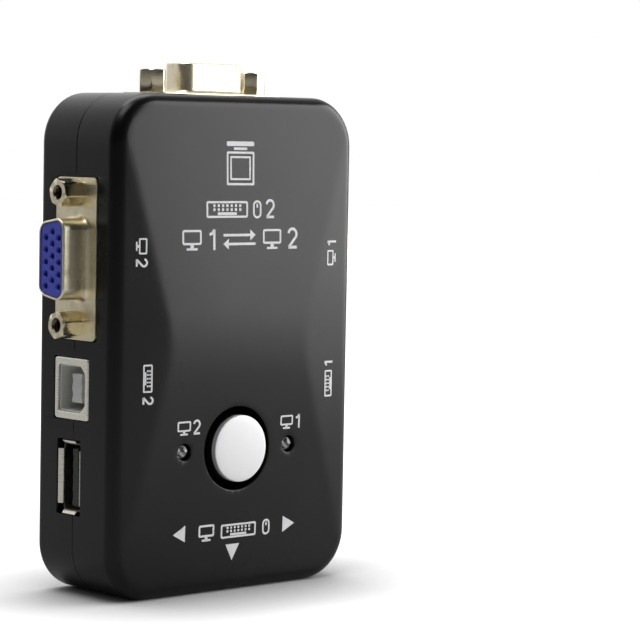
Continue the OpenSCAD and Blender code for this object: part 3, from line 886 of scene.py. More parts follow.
def rows_tree():
    """Geometry nodes that set copies of a piece out in columns and rows."""
    name = "Copies in rows"
    if name in bpy.data.node_groups:
        return bpy.data.node_groups[name]
    tree, given, result = group(
        name, [("Geometry", "Geometry", None), ("Piece", "Object", None), ("Columns", "Int", None),
               ("Rows", "Int", None), ("Column spacing", "Float", None),
               ("Row spacing", "Float", None), ("Turn of each", "Float", None),
               ("Material", "Material", None)],
        [("Geometry", "Geometry")], "GeometryNodeTree")
    reach = []
    for count, spacing in (("Columns", "Column spacing"), ("Rows", "Row spacing")):
        gaps = node(tree, "Math", {0: given.outputs[count]}, operation="SUBTRACT", inputs={1: 1})
        whole = node(tree, "Math", {0: gaps.outputs[0], 1: given.outputs[spacing]},
                     operation="MULTIPLY")
        reach.append(whole.outputs[0])
    grid = node(tree, "GeometryNodeMeshGrid",
                {"Size X": reach[0], "Size Y": reach[1], "Vertices X": given.outputs["Columns"],
                 "Vertices Y": given.outputs["Rows"]})
    source = node(tree, "GeometryNodeObjectInfo", {"Object": given.outputs["Piece"]})
    index = node(tree, "GeometryNodeInputIndex")
    angle = node(tree, "Math", {0: index.outputs[0], 1: given.outputs["Turn of each"]},
                 operation="MULTIPLY")
    about = node(tree, "CombineXYZ", {"Z": angle.outputs[0]})
    copies = node(tree, "GeometryNodeInstanceOnPoints",
                  {"Points": grid.outputs["Mesh"], "Instance": source.outputs["Geometry"],
                   "Rotation": about.outputs[0]})
    real = node(tree, "GeometryNodeRealizeInstances", {"Geometry": copies.outputs["Instances"]})
    paint = node(tree, "GeometryNodeSetMaterial",
                 {"Geometry": real.outputs["Geometry"], "Material": given.outputs["Material"]})
    tree.links.new(paint.outputs["Geometry"], result.inputs["Geometry"])
    return tree


def in_rows(name, piece, columns, rows, gaps, turn, material, smooth=32):
    """A new object of copies of piece, which is then removed: gaps in millimetres, and the
    turn of each copy against the one before in degrees."""
    tree = rows_tree()
    thing = bpy.data.objects.new(name, bpy.data.meshes.new(name))
    bpy.context.scene.collection.objects.link(thing)
    spread_out = thing.modifiers.new("Copies", "NODES")
    spread_out.node_group = tree
    values = {"Piece": piece, "Columns": columns, "Rows": rows, "Column spacing": gaps[0] * MM,
              "Row spacing": gaps[1] * MM,
              "Turn of each": radians(turn), "Material": material}
    for item in tree.interface.items_tree:
        if item.item_type == "SOCKET" and item.in_out == "INPUT" and item.name in values:
            spread_out[item.identifier] = values[item.name]
    bpy.context.view_layer.update()
    even(settle(thing), smooth)
    mesh = piece.data
    bpy.data.objects.remove(piece)
    bpy.data.meshes.remove(mesh)
    return thing


# ---- case screws ---------------------------------------------------------------------


def cross(arm, width):
    """Outline of a cross recess."""
    a, b = arm, width / 2
    return [(a, -b), (a, b), (b, b), (b, a), (-b, a), (-b, b), (-a, b), (-a, -b), (-b, -b),
            (-b, -a), (b, -a), (b, -b)]


class SWITCH_OT_case_screws(bpy.types.Operator):
    """Four case screws with crowned heads and cross recesses"""

    bl_idname = "switch.case_screws"
    bl_label = "Case screws"

    def execute(self, context):
        head = REAR_LEVEL + SCREW_SINK
        outside = -SCREW_HIGH.y
        flat, crown, depth = 1.75, 0.28, 0.9
        sides = 40
        bm = bmesh.new()
        rim = circle(0, 0, flat, sides)
        fill(bm, rim, [cross(1.4, 0.62)], outside)
        bridge(bm, [at(cross(1.4, 0.62), outside), at(cross(0.95, 0.45), outside + depth)])
        fill(bm, cross(0.95, 0.45), [], outside + depth)
        r = SCREW_HEAD_R
        rings = [at(rim, outside), at(circle(0, 0, 2.15, sides), outside + crown * 0.35),
                 at(circle(0, 0, r - 0.08, sides), outside + crown),
                 at(circle(0, 0, r, sides), outside + 0.5), at(circle(0, 0, r, sides), head)]
        thread = []
        pitch, ridge_h = 0.8, 0.28
        low_r = SCREW_R - ridge_h
        steps = 8
        tip = -box_mm("case_screws")[0].y
        turns = int((tip - head - 0.6) / pitch * steps)
        for k in range(turns + 1):
            level = head + 0.05 + k * pitch / steps
            ring = []
            for i in range(sides):
                phase = (k / steps - i / sides) % 1.0
                ridge = max(0.0, 1 - abs(phase - 0.5) * 4)
                ring.append((cos(2 * pi * i / sides) * (low_r + ridge_h * ridge),
                             sin(2 * pi * i / sides) * (low_r + ridge_h * ridge), level))
            thread.append(ring)
        rings += thread + [at(circle(0, 0, 0.5, sides), tip)]
        rows = bridge(bm, rings)
        bm.faces.new(rows[-1])
        one = as_object("case_screw", bm)
        (x0, z0), (_, z1) = screw_places()[:2]
        screws = in_rows("case_screws_set", one, 2, 2, (-2 * x0, z1 - z0), 25, zinc())
        screws.data.transform(PLAN @ Matrix.Translation((0, (z0 + z1) / 2 * MM, 0)))
        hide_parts("case_screws")
        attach(screws, CASE_BODY)
        return {"FINISHED"}


# ---- video ports ---------------------------------------------------------------------


FLANGE_W, FLANGE_H, FLANGE_R = 30.8, 12.5, 1.2
FLANGE_TOP, FLANGE_UNDER = 0.3, -0.5
COLLAR_HALF, COLLAR_H, COLLAR_R, COLLAR_LEAN = 8.165, 7.9, 2.3, radians(10)
COLLAR_T, COLLAR_TOP = 0.45, 6.1
JACK_X = 24.99 / 2
CONTACT_PITCH, ROW_PITCH, CONTACT_BORE = 2.29, 1.98, 0.6
VIDEO_PORTS = (("monitor_port", 0), ("pc1_video", 90), ("pc2_video", -90))


def d_outline(inset=0.0, steps=6):
    """The D of a video port, made smaller by inset, its wide side at +y."""
    t, c = tan(COLLAR_LEAN), cos(COLLAR_LEAN)
    r = COLLAR_R - inset
    corners = []
    for sy in (1, -1):
        x = COLLAR_HALF - (0 if sy > 0 else COLLAR_H * t) - sy * COLLAR_R * t - COLLAR_R / c
        corners.append((x, sy * (COLLAR_H / 2 - COLLAR_R)))
    (wx, wy), (nx, ny) = corners
    arcs = [(wx, wy, -COLLAR_LEAN, pi / 2), (-wx, wy, pi / 2, pi + COLLAR_LEAN),
            (-nx, ny, pi + COLLAR_LEAN, 3 * pi / 2), (nx, ny, -pi / 2, -COLLAR_LEAN)]
    points = []
    for x, y, a, b in arcs:
        points += [(x + r * cos(a + (b - a) * k / steps), y + r * sin(a + (b - a) * k / steps))
                   for k in range(steps + 1)]
    return points


def port_seat_of(node, turn):
    return seat_of(node + "_shell", turn)


def carried(thing, node, slot, *replaced):
    """What every piece that stands for CAD nodes of the case gets."""
    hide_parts(*(replaced or (node,)))
    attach(thing, CASE_BODY)


def video_collar():
    """Flange with its D collar: swept root, rounded open end, hollow through."""
    root, lip = mm("switch_ports", "root"), mm("switch_ports", "lip")
    bm = bmesh.new()
    soft = 0.14
    holes = [circle(s * JACK_X, 0, 1.55, 28) for s in (-1, 1)]
    inner = d_outline(COLLAR_T)
    top_edge = round_box(FLANGE_W - 2 * soft, FLANGE_H - 2 * soft, FLANGE_R - soft)
    full = round_box(FLANGE_W, FLANGE_H, FLANGE_R)
    fill(bm, top_edge, [d_outline(-root)] + holes, FLANGE_TOP)
    mid = round_box(FLANGE_W - soft * 0.6, FLANGE_H - soft * 0.6, FLANGE_R - soft * 0.3)
    bridge(bm, [at(top_edge, FLANGE_TOP), at(mid, FLANGE_TOP - soft * 0.3),
                at(full, FLANGE_TOP - soft), at(full, FLANGE_UNDER)])
    fill(bm, full, [inner] + holes, FLANGE_UNDER)
    for hole in holes:
        bridge(bm, [at(hole, FLANGE_TOP), at(hole, FLANGE_UNDER)])
    rings = []
    for k in range(6):
        a = pi / 2 * k / 5
        rings.append(at(d_outline(-root * (1 - sin(a))), FLANGE_TOP + root * (1 - cos(a))))
    for k in range(5):
        a = pi / 2 * k / 4
        rings.append(at(d_outline(lip * (1 - cos(a))), COLLAR_TOP - lip + lip * sin(a)))
    hem = COLLAR_T - lip
    for k in range(1, 4):
        a = pi / 2 * k / 3
        rings.append(at(d_outline(COLLAR_T - hem + hem * sin(a)), COLLAR_TOP - hem + hem * cos(a)))
    rings.append(at(inner, FLANGE_UNDER))
    bridge(bm, rings)
    return bm


def contact_places():
    rows = [(-ROW_PITCH, CONTACT_PITCH / 4), (0, -CONTACT_PITCH / 4), (ROW_PITCH, CONTACT_PITCH / 4)]
    return [(i * CONTACT_PITCH + shift, y) for y, shift in rows for i in range(-2, 3)]


def video_insert():
    """Moulded block inside the collar, with a countersunk hole for every contact."""
    sink = mm("switch_ports", "hole_sink")
    top, foot, play = COLLAR_TOP - 0.25, -0.55, 0.05
    edge = 0.15
    outer = d_outline(COLLAR_T + play)
    inner = d_outline(COLLAR_T + play + edge)
    places = contact_places()
    mouths = [circle(x, y, CONTACT_BORE + sink, 16) for x, y in places]
    bores = [circle(x, y, CONTACT_BORE, 16) for x, y in places]
    bm = bmesh.new()
    fill(bm, inner, mouths, top)
    bridge(bm, [at(inner, top), at(d_outline(COLLAR_T + play + edge * 0.3), top - edge * 0.3),
                at(outer, top - edge), at(outer, foot)])
    fill(bm, outer, bores, foot)
    for mouth, bore in zip(mouths, bores):
        bridge(bm, [at(mouth, top), at(bore, top - sink), at(bore, foot)])
    return bm


def jack_nut():
    """Hexagonal jack nut with a turned chamfer, a threaded bore and a plain shank."""
    across, top, foot = 4.75, 4.7, -4.0
    chamfer, pitch = mm("switch_ports", "nut_chamfer"), mm("switch_ports", "thread_pitch")
    bore, bore_end, shank = 1.2, 0.8, 1.4
    steps, twist = 72, radians(14)
    thread, per_turn = 0.16, 6

    def hex_r(a):
        return across / 2 / cos((a + pi / 6 + twist) % (pi / 3) - pi / 6)

    def turned_ring(r, level):
        return [(min(hex_r(2 * pi * i / steps), r) * cos(2 * pi * i / steps),
                 min(hex_r(2 * pi * i / steps), r) * sin(2 * pi * i / steps), level)
                for i in range(steps)]

    corner = across / 2 / cos(pi / 6)
    flat = across / 2 + 0.02
    rings = [turned_ring(shank, foot), turned_ring(shank, FLANGE_TOP), turned_ring(9, FLANGE_TOP)]
    for k in range(6):
        s = k / 5
        rings.append(turned_ring(corner + (flat - corner) * s, top - chamfer * (1 - s)))
    mouth = bore + 0.22
    rings += [turned_ring(mouth, top), turned_ring(bore + 0.06, top - 0.16), turned_ring(bore, top - 0.45)]
    level = top - 0.55
    k = 0
    while level > bore_end + 0.2:
        ring = []
        for i in range(steps):
            phase = (k / per_turn + i / steps) % 1.0
            r = bore - thread * (1 - abs(2 * phase - 1))
            ring.append((r * cos(2 * pi * i / steps), r * sin(2 * pi * i / steps), level))
        rings.append(ring)
        level -= pitch / per_turn
        k += 1
    rings.append(turned_ring(bore - 0.1, bore_end))
    bm = bmesh.new()
    solid(bm, rings)
    return bm


class SWITCH_OT_video_ports(bpy.types.Operator):
    """Three video sockets: plated collar, blue insert and two threaded jack nuts each"""

    bl_idname = "switch.video_ports"
    bl_label = "Video ports"

    def execute(self, context):
        for port, turn in VIDEO_PORTS:
            place = port_seat_of(port, turn)
            collar = seat(as_object(port + "_collar", video_collar(), 30), place)
            collar.data.materials.append(drawn_nickel())
            carried(collar, port + "_shell", "port_metal")
            insert = seat(as_object(port + "_insert", video_insert(), 40), place)
            insert.data.materials.append(blue_plastic())
            carried(insert, port + "_insulator", "video_blue")
            nuts = in_rows(port + "_jack_nuts", as_object("jack_nut", jack_nut(), 28), 2, 1,
                           (2 * JACK_X, 0), 30, nickel(), 28)
            nuts.data.materials.append(bore_shade_metal())
            # Faces inside the nuts' threaded bores take a darker metal: painted shade down the bores, with
            # some glints left.
            bore_r, bore_foot, bore_mouth = 1.42 * MM, 0.5 * MM, 4.69 * MM
            for face in nuts.data.polygons:
                from_axis = hypot(abs(face.center.x) - JACK_X * MM, face.center.y)
                if from_axis < bore_r and bore_foot < face.center.z < bore_mouth:
                    face.material_index = len(nuts.data.materials) - 1
            seat(nuts, place)
            carried(nuts, port + "_jack_screws", "port_metal")
        return {"FINISHED"}


# ---- square ports --------------------------------------------------------------------


SQUARE_SHELL, SQUARE_DEEP, SQUARE_MOUTH = (11.9, 10.6), 16.0, (9.0, 8.2)
SQUARE_CAVITY, SQUARE_CHAMFER, SQUARE_WALL = (8.45, 7.78), 1.5, 0.4
SQUARE_TONGUE = (5.6, 3.18)
SQUARE_PORTS = (("pc1_square", 90), ("pc2_square", -90))


def grown(loop, d):
    """A polygon's outline moved outwards by d, point for point."""
    points = []
    n = len(loop)
    for i, (x, y) in enumerate(loop):
        a = Vector((x - loop[i - 1][0], y - loop[i - 1][1])).normalized()
        b = Vector((loop[(i + 1) % n][0] - x, loop[(i + 1) % n][1] - y)).normalized()
        along = (a + b).normalized()
        reach = d / max(along.dot(a), 0.3)
        points.append((x + along.y * reach, y - along.x * reach))
    return points


def square_mouth_shell():
    """Folded metal box with a mouth whose rim turns inwards."""
    bm = bmesh.new()
    w, h = SQUARE_SHELL
    mouth = rounded(cut_box(*SQUARE_MOUTH, SQUARE_CHAMFER), 0.5)
    soft, fold = 0.35, 0.22
    outer_top = round_box(w - 2 * soft, h - 2 * soft, 0.75 - soft)
    fill(bm, outer_top, [grown(mouth, fold)], 0)
    edge = []
    for k in range(5):
        a = pi / 2 * k / 4
        d = soft * (1 - sin(a))
        edge.append(at(round_box(w - 2 * d, h - 2 * d, 0.75 - d), -soft * (1 - cos(a))))
    edge.append(at(round_box(w, h, 0.75), -SQUARE_DEEP))
    bridge(bm, edge)
    rim = []
    for k in range(4):
        a = pi / 2 * k / 3
        rim.append(at(grown(mouth, fold * (1 - sin(a))), -fold * (1 - cos(a))))
    rim.append(at(mouth, -SQUARE_WALL))
    bridge(bm, rim)
    inner = round_box(w - 2 * SQUARE_WALL, h - 2 * SQUARE_WALL, 0.35)
    fill(bm, inner, [mouth], -SQUARE_WALL)
    bridge(bm, [at(inner, -SQUARE_WALL), at(inner, -SQUARE_DEEP)])
    fill(bm, round_box(w, h, 0.75), [inner], -SQUARE_DEEP)
    return bm


def square_insert():
    """White moulding with a chamfered cavity and a tongue slotted for four contacts."""
    bm = bmesh.new()
    w = SQUARE_SHELL[0] - 2 * SQUARE_WALL - 0.1
    h = SQUARE_SHELL[1] - 2 * SQUARE_WALL - 0.1
    body = round_box(w, h, 0.3)
    cavity = rounded(cut_box(*SQUARE_CAVITY, SQUARE_CHAMFER), 0.4)
    front, floor, back = -0.5, -9.5, -SQUARE_DEEP + 0.5
    fill(bm, body, [grown(cavity, 0.1)], front)
    bridge(bm, [at(body, front), at(body, back)])
    fill(bm, body, [], back)
    tongue = tongue_outline()
    bridge(bm, [at(grown(cavity, 0.1), front), at(cavity, front - 0.1), at(cavity, floor)])
    fill(bm, cavity, [tongue], floor)
    tip = -1.4
    draw = 0.22
    bridge(bm, [at(tongue, floor), at(tongue, tip - draw), at(grown(tongue, -0.09), tip)])
    fill(bm, grown(tongue, -0.09), [], tip)
    return bm


def tongue_outline():
    """Outline of the square port's tongue, with a groove round each contact strip."""
    w, h = SQUARE_TONGUE[0] / 2, SQUARE_TONGUE[1] / 2
    deep = h - 0.2
    strip_x, groove, corner = 1.25, 0.55, 0.15
    near, far = strip_x - groove, strip_x + groove
    points = []
    for sy in (1, -1):
        row = [(w - corner, sy * h), (far, sy * h), (far, sy * deep), (near, sy * deep), (near, sy * h)]
        row += [(-x, y) for x, y in reversed(row)]
        row = [(w, sy * (h - corner))] + row + [(-w, sy * (h - corner))]
        points += row if sy > 0 else row[::-1]
    return points


class SWITCH_OT_square_ports(bpy.types.Operator):
    """Two square sockets: folded metal mouth and white insert with its tongue"""

    bl_idname = "switch.square_ports"
    bl_label = "Square ports"

    def execute(self, context):
        for port, turn in SQUARE_PORTS:
            place = seat_of(port + "_insulator", turn)
            shell = seat(as_object(port + "_mouth", square_mouth_shell(), 30), place)
            shell.data.materials.append(tinplate())
            carried(shell, port + "_shell", "port_metal")
            insert = seat(as_object(port + "_insert", square_insert(), 40), place)
            insert.data.materials.append(white_plastic())
            carried(insert, port + "_insulator", "port_white")
        return {"FINISHED"}


# ---- flat ports ----------------------------------------------------------------------


FLAT_SHELL, FLAT_DEEP, FLAT_WALL = (13.1, 5.7), 14.0, 0.3
FLAT_TONGUE, FLAT_TONGUE_Y = (11.1, 1.84), 0.9
FLAT_CONTACT_X = (-3.5, -1.0, 1.0, 3.5)
FLAT_REACH = 3.55
FLAT_PORTS = (("right_flat", 90), ("left_flat", -90), ("bottom_flat", 180))


def flat_tube():
    """Folded metal tube whose four sides end in lips bent outwards, apart at the corners."""
    w, h = FLAT_SHELL
    bend_r, bend = 0.75, radians(58)
    start, straight = -1.12, 0.32
    r = 0.45
    bends = 5
    outline = []
    for q in range(4):
        a0 = pi / 2 * q
        sx, sy = [(1, 1), (-1, 1), (-1, -1), (1, -1)][q]
        for k in range(4):
            a = a0 + pi / 2 * k / 3
            outline.append(((sx * (w / 2 - r) + r * cos(a), sy * (h / 2 - r) + r * sin(a)), None))
        nx, ny = [(0, 1), (-1, 0), (0, -1), (1, 0)][q]
        reach = w / 2 - 1.3 if ny else h / 2 - 0.9
        steps = 6
        for k in range(steps + 1):
            s = reach * (1 - 2 * k / steps)
            if ny:
                point = (s * ny, ny * h / 2)
            else:
                point = (nx * w / 2, s * -nx)
            outline.append((point, (nx, ny)))
    skin = Skin()

    def pair(point, out, level):
        (x, y), n = point, out
        if n is None:
            n = Vector((x / (w / 2) if abs(x) > w / 2 - r else 0,
                        y / (h / 2) if abs(y) > h / 2 - r else 0)).normalized()
        ix, iy = x - n[0] * FLAT_WALL, y - n[1] * FLAT_WALL
        return (x, y, level), (ix, iy, level)

    levels = [-FLAT_DEEP, -9.0, -4.0, start - 0.3, start]
    skin.strip([[pair(p, n, level) for p, n in outline] for level in levels])
    count = len(outline)
    for i in range(count):
        j = (i + 1) % count
        (a, na), (b, nb) = outline[i], outline[j]
        if na is None or nb is None or na != nb:
            continue
        rows = []
        for k in range(bends + 2):
            t = bend * min(k, bends) / bends
            out = bend_r * (1 - cos(t)) + (straight * sin(t) if k > bends else 0)
            level = start + bend_r * sin(t) + (straight * cos(t) if k > bends else 0)
            inset = Vector((cos(t), -sin(t))) * FLAT_WALL
            row = []
            for p, n in ((a, na), (b, nb)):
                x, y = p[0] + n[0] * out, p[1] + n[1] * out
                row.append(((x, y, level), (x - n[0] * inset.x, y - n[1] * inset.x, level - inset.y)))
            rows.append(row)
        skin.strip(rows, closed=False)
    return skin.bmesh()


def flat_block():
    """Black moulding: the tongue with its contact grooves, and the block that holds it."""
    bm = bmesh.new()
    w, h = FLAT_TONGUE
    groove, deep = 0.55, 0.16
    low, high = FLAT_TONGUE_Y - h / 2, FLAT_TONGUE_Y + h / 2
    points = [(w / 2 - 0.2, high), (-w / 2 + 0.2, high), (-w / 2, high - 0.2), (-w / 2, low + 0.2),
              (-w / 2 + 0.2, low)]
    for x in FLAT_CONTACT_X:
        points += [(x - groove, low), (x - groove, low + deep), (x + groove, low + deep),
                   (x + groove, low)]
    points += [(w / 2 - 0.2, low), (w / 2, low + 0.2), (w / 2, high - 0.2)]
    tip, root = -1.0, -11.2
    tapered = grown(points, -0.08)
    fill(bm, tapered, [], tip)
    bridge(bm, [at(tapered, tip), at(points, tip - 0.35), at(points, root)])
    fill(bm, points, [], root)
    block_w, block_h = FLAT_SHELL[0] - 0.7, FLAT_SHELL[1] - 0.7
    solid(bm, [at(round_box(block_w, block_h, 0.2), -FLAT_DEEP - 0.2),
               at(round_box(block_w, block_h, 0.2), -11.0)])
    foot = -(box_mm("right_flat_tongue")[1].y - (box_mm("right_flat_shell")[0].y + FLAT_REACH))
    side, over, under = 6, 2.6, -FLAT_SHELL[1] / 2 - 0.05
    base = [(-side, foot), (side, foot), (side, over), (-side, over)]
    solid(bm, [at(base, -FLAT_DEEP - 1), at(base, -FLAT_DEEP - 0.1)])
    shelf = [(-side, foot), (side, foot), (side, under), (-side, under)]
    solid(bm, [at(shelf, -FLAT_DEEP - 0.5), at(shelf, -FLAT_DEEP + 3)])
    return bm


class SWITCH_OT_flat_ports(bpy.types.Operator):
    """Three flat sockets: folded metal tube with bent lips and a black tongue"""

    bl_idname = "switch.flat_ports"
    bl_label = "Flat ports"

    def execute(self, context):
        for port, turn in FLAT_PORTS:
            place = seat_of(port + "_shell", turn, False, FLAT_REACH)
            tube = as_object(port + "_tube", flat_tube(), 30)
            tube.data.materials.append(tube_shade_tin())
            tube.data.materials.append(tinplate())
            # Below its lips the tube takes a darker tinplate: painted shade inside the socket. The lips
            # keep plain tinplate.
            lip_start = -0.9 * MM
            for face in tube.data.polygons:
                face.material_index = 1 if face.center.z > lip_start else 0
            seat(tube, place)
            carried(tube, port + "_shell", "port_metal")
            block = seat(as_object(port + "_block", flat_block(), 40), place)
            block.data.materials.append(plain_black())
            carried(block, port + "_tongue", "port_black")
        return {"FINISHED"}


# ---- printed marks -------------------------------------------------------------------


def stroke(points, width):
    """A line of even width as an outline."""
    left, right = [], []
    n = len(points)
    for i, p in enumerate(points):
        here = Vector(p)
        a = (here - Vector(points[i - 1])).normalized() if i else None
        b = (Vector(points[i + 1]) - here).normalized() if i < n - 1 else None
        along = ((a or b) + (b or a)).normalized()
        reach = width / 2 / max(along.dot(a or b), 0.5)
        side = Vector((-along.y, along.x)) * reach
        left.append(tuple(here + side))
        right.append(tuple(here - side))
    return left + right[::-1]


def numeral_one(h, t):
    return [(stroke([(0.02 * h, 0.76 * h), (0.2 * h, 0.83 * h), (0.32 * h, h)], t), []),
            (stroke([(0.32 * h, 0), (0.32 * h, h)], t), [])], 0.42 * h


def numeral_two(h, t):
    r = 0.27 * h
    top = [(r + r * cos(a), h - r + r * sin(a)) for a in (radians(170 - 22.5 * k) for k in range(10))]
    return [(stroke(top + [(0.02 * h, t / 2)], t), []),
            (stroke([(0.0, t / 2), (0.56 * h, t / 2)], t), [])], 0.56 * h


def frame_of(w, h, r, t, x, y):
    return round_box(w, h, r, 4, x, y), [round_box(w - 2 * t, h - 2 * t, max(r - t, 0.08), 4, x, y)]


def screen_mark(h, t):
    """A display on its foot."""
    w = 1.22 * h
    return [frame_of(w, 0.74 * h, 0.12 * h, t, w / 2, 0.63 * h),
            (round_box(0.22 * h, 0.2 * h, 0.02, 2, w / 2, 0.19 * h), []),
            (round_box(0.7 * h, t, t * 0.4, 3, w / 2, t / 2), [])], w


def keyboard_mark(h, t, columns=6):
    """A keyboard with rows of keys and a space bar."""
    w = (columns + 0.8) * 0.34 * h
    shapes = [frame_of(w, 0.92 * h, 0.12 * h, t, w / 2, h / 2)]
    key = 0.15 * h
    for i in range(columns - 1):
        x = w / 2 + (i - (columns - 2) / 2) * 0.31 * h
        for y in (0.71 * h, 0.49 * h):
            shapes.append((round_box(key, key, 0.03, 2, x, y), []))
    shapes.append((round_box(w * 0.46, key, 0.03, 2, w / 2, 0.27 * h), []))
    return shapes, w


def mouse_mark(h, t):
    """A mouse with its wheel."""
    w = 0.62 * h
    return [frame_of(w, h, w * 0.46, t, w / 2, h / 2),
            (round_box(t * 0.9, 0.24 * h, t * 0.4, 3, w / 2, 0.7 * h), [])], w


def swap_mark(h, t):
    """Two arrows that point past each other."""
    w = 2.1 * h
    head = 0.27 * h
    shapes = []
    for s, y in ((1, 0.72 * h), (-1, 0.28 * h)):
        tip = w if s > 0 else 0
        shapes.append(([(tip, y), (tip - s * 1.3 * head, y + head), (tip - s * 1.3 * head, y - head)], []))
        shapes.append((round_box(w - 1.3 * head, t, t * 0.3, 2, w / 2 - s * 0.65 * head, y), []))
    return shapes, w


def in_line(marks, gap):
    """Marks side by side, centred on the origin."""
    total = sum(w for _, w in marks) + gap * (len(marks) - 1)
    x = -total / 2
    shapes = []
    for parts, w in marks:
        for outline, holes in parts:
            shapes.append(([(px + x, py) for px, py in outline],
                           [[(px + x, py) for px, py in hole] for hole in holes]))
        x += w + gap
    return shapes


def put(shapes, x, z, turn=0):
    """Shapes moved to a place on the face, turned about it."""
    c, s = round(cos(radians(turn))), round(sin(radians(turn)))

    def move(loop):
        return [(x + c * px - s * py, z + s * px + c * py) for px, py in loop]

    return [(move(outline), [move(hole) for hole in holes]) for outline, holes in shapes]


def finer(loop, step=0.9):
    """A loop with points added along its longer sides."""
    points = []
    for (ax, ay), (bx, by) in zip(loop, loop[1:] + loop[:1]):
        n = max(1, int(hypot(bx - ax, by - ay) / step))
        points += [(ax + (bx - ax) * k / n, ay + (by - ay) * k / n) for k in range(n)]
    return points


def face_marks():
    """Every printed mark: outlines and holes in x and z."""
    thin, line, bold = 0.34, 0.42, 0.55
    display = [frame_of(7.0, 6.5, 0.3, line, 0, 3.25), frame_of(5.2, 4.6, 0.2, 0.36, 0, 3.3),
               (round_box(7.0, 0.9, 0.3, 3, 0, 8.0), []), (round_box(3.4, 0.5, 0.15, 3, 0, 7.05), [])]
    shapes = put(display, 0, 79.0)
    high = 3.5
    shapes += put(in_line([keyboard_mark(high, line, 8), mouse_mark(high, line),
                           numeral_two(high, 0.5)], 1.3), 0, 72.6)
    high = 3.9
    shapes += put(in_line([screen_mark(high, line), numeral_one(high, bold), swap_mark(high, 0.5),
                           screen_mark(high, line), numeral_two(high, bold)], 1.9), 0, 66.6)
    high = 2.7
    for numeral, x, z in ((numeral_two, -12.4, 31.3), (numeral_one, 13.6, 31.0)):
        shapes += put(in_line([screen_mark(high, thin), numeral(high, line)], 0.75), x, z)
    for numeral, turn, x, z in ((numeral_two, -90, -25.5, 66.4), (numeral_one, 90, 25.4, 65.6)):
        high = 2.5
        shapes += put(in_line([screen_mark(high, 0.32), numeral(high, line)], 0.9), x, z, turn)
    for numeral, turn, x, z in ((numeral_two, -90, -23.6, 41.5), (numeral_one, 90, 25.0, 40.4)):
        high = 2.3
        shapes += put(in_line([keyboard_mark(high, 0.32), numeral(high, line)], 0.9), x, z, turn)
    shapes += put(in_line([screen_mark(3.2, 0.4), keyboard_mark(3.0, 0.38, 8), mouse_mark(3.1, 0.4)],
                          1.7), 0, 10.3)
    shapes += [([(-15.5, 12.2), (-12.5, 10.6), (-12.5, 13.8)], []),
               ([(15.6, 12.0), (12.5, 13.6), (12.5, 10.4)], []),
               ([(-0.5, 6.0), (1.3, 9.2), (-2.2, 9.2)], [])]
    return shapes


class SWITCH_OT_face_print(bpy.types.Operator):
    """White printed marks on the face, as thin ink that follows its shape"""

    bl_idname = "switch.face_print"
    bl_label = "Face print"

    def execute(self, context):
        ink, root = 0.035, -0.06
        bm = bmesh.new()
        for outline, holes in face_marks():
            loops = [finer(outline)] + [finer(hole) for hole in holes]
            xs, zs = [p[0] for p in outline], [p[1] for p in outline]
            grid = []
            step = 0.8
            for i in range(int((max(xs) - min(xs)) / step) + 1):
                for j in range(int((max(zs) - min(zs)) / step) + 1):
                    x, z = min(xs) + (i + 0.5) * step, min(zs) + (j + 0.5) * step
                    near = min(hypot(x - a, z - b) for loop in loops for a, b in loop)
                    if near > 0.25:
                        grid.append((x, z))
            for lift in (ink, root):
                fill(bm, loops[0], loops[1:], lambda x, z, lift=lift: face_level(x, z) + lift, grid)
            for loop in loops:
                bridge(bm, [[(x, z, face_level(x, z) + lift) for x, z in loop] for lift in (root, ink)])
        marks = as_object("face_marks", bm)
        marks.data.transform(PLAN)
        marks.data.materials.append(print_ink())
        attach(marks, CASE_BODY)
        return {"FINISHED"}


# ---- materials -----------------------------------------------------------------------


def group(name, inputs, outputs, tree_kind="ShaderNodeTree"):
    """A new node group with named inputs and outputs."""
    tree = bpy.data.node_groups.new(name, tree_kind)
    for title, kind, value in inputs:
        socket = tree.interface.new_socket(title, in_out="INPUT", socket_type="NodeSocket" + kind)
        if value is not None:
            socket.default_value = value
    for title, kind in outputs:
        tree.interface.new_socket(title, in_out="OUTPUT", socket_type="NodeSocket" + kind)
    return tree, tree.nodes.new("NodeGroupInput"), tree.nodes.new("NodeGroupOutput")


def node(tree, kind, links=(), **values):
    """A node with its settings, input values by name or number, and links into it."""
    made = tree.nodes.new(kind if kind.startswith("GeometryNode") else "ShaderNode" + kind)
    inputs = values.pop("inputs", {})
    for name, value in values.items():
        setattr(made, name, value)
    for name, value in inputs.items():
        made.inputs[name].default_value = value
    for name, source in dict(links).items():
        tree.links.new(source, made.inputs[name])
    return made


def moulded_grain():
    """Fine spark texture of moulded plastic, and a slow change of its gloss."""
    name = "Moulded grain"
    if name in bpy.data.node_groups:
        return bpy.data.node_groups[name]
    tree, given, result = group(name, [("Vector", "Vector", None), ("Size", "Float", 0.0003)],
                                [("Height", "Float"), ("Gloss", "Float")])
    scale = node(tree, "Math", {1: given.outputs["Size"]}, operation="DIVIDE", inputs={0: 1.0})
    fine = node(tree, "TexNoise", {"Vector": given.outputs["Vector"], "Scale": scale.outputs[0]},
                inputs={"Detail": 2.5, "Roughness": 0.6})
    pits = node(tree, "TexVoronoi", {"Vector": given.outputs["Vector"], "Scale": scale.outputs[0]},
                feature="SMOOTH_F1", inputs={"Smoothness": 0.6})
    both = node(tree, "Math", {0: fine.outputs[0], 1: pits.outputs["Distance"]}, operation="MULTIPLY")
    slow = node(tree, "TexNoise", {"Vector": given.outputs["Vector"]},
                inputs={"Scale": 45.0, "Detail": 3.0})
    tree.links.new(both.outputs[0], result.inputs["Height"])
    tree.links.new(slow.outputs[0], result.inputs["Gloss"])
    return tree


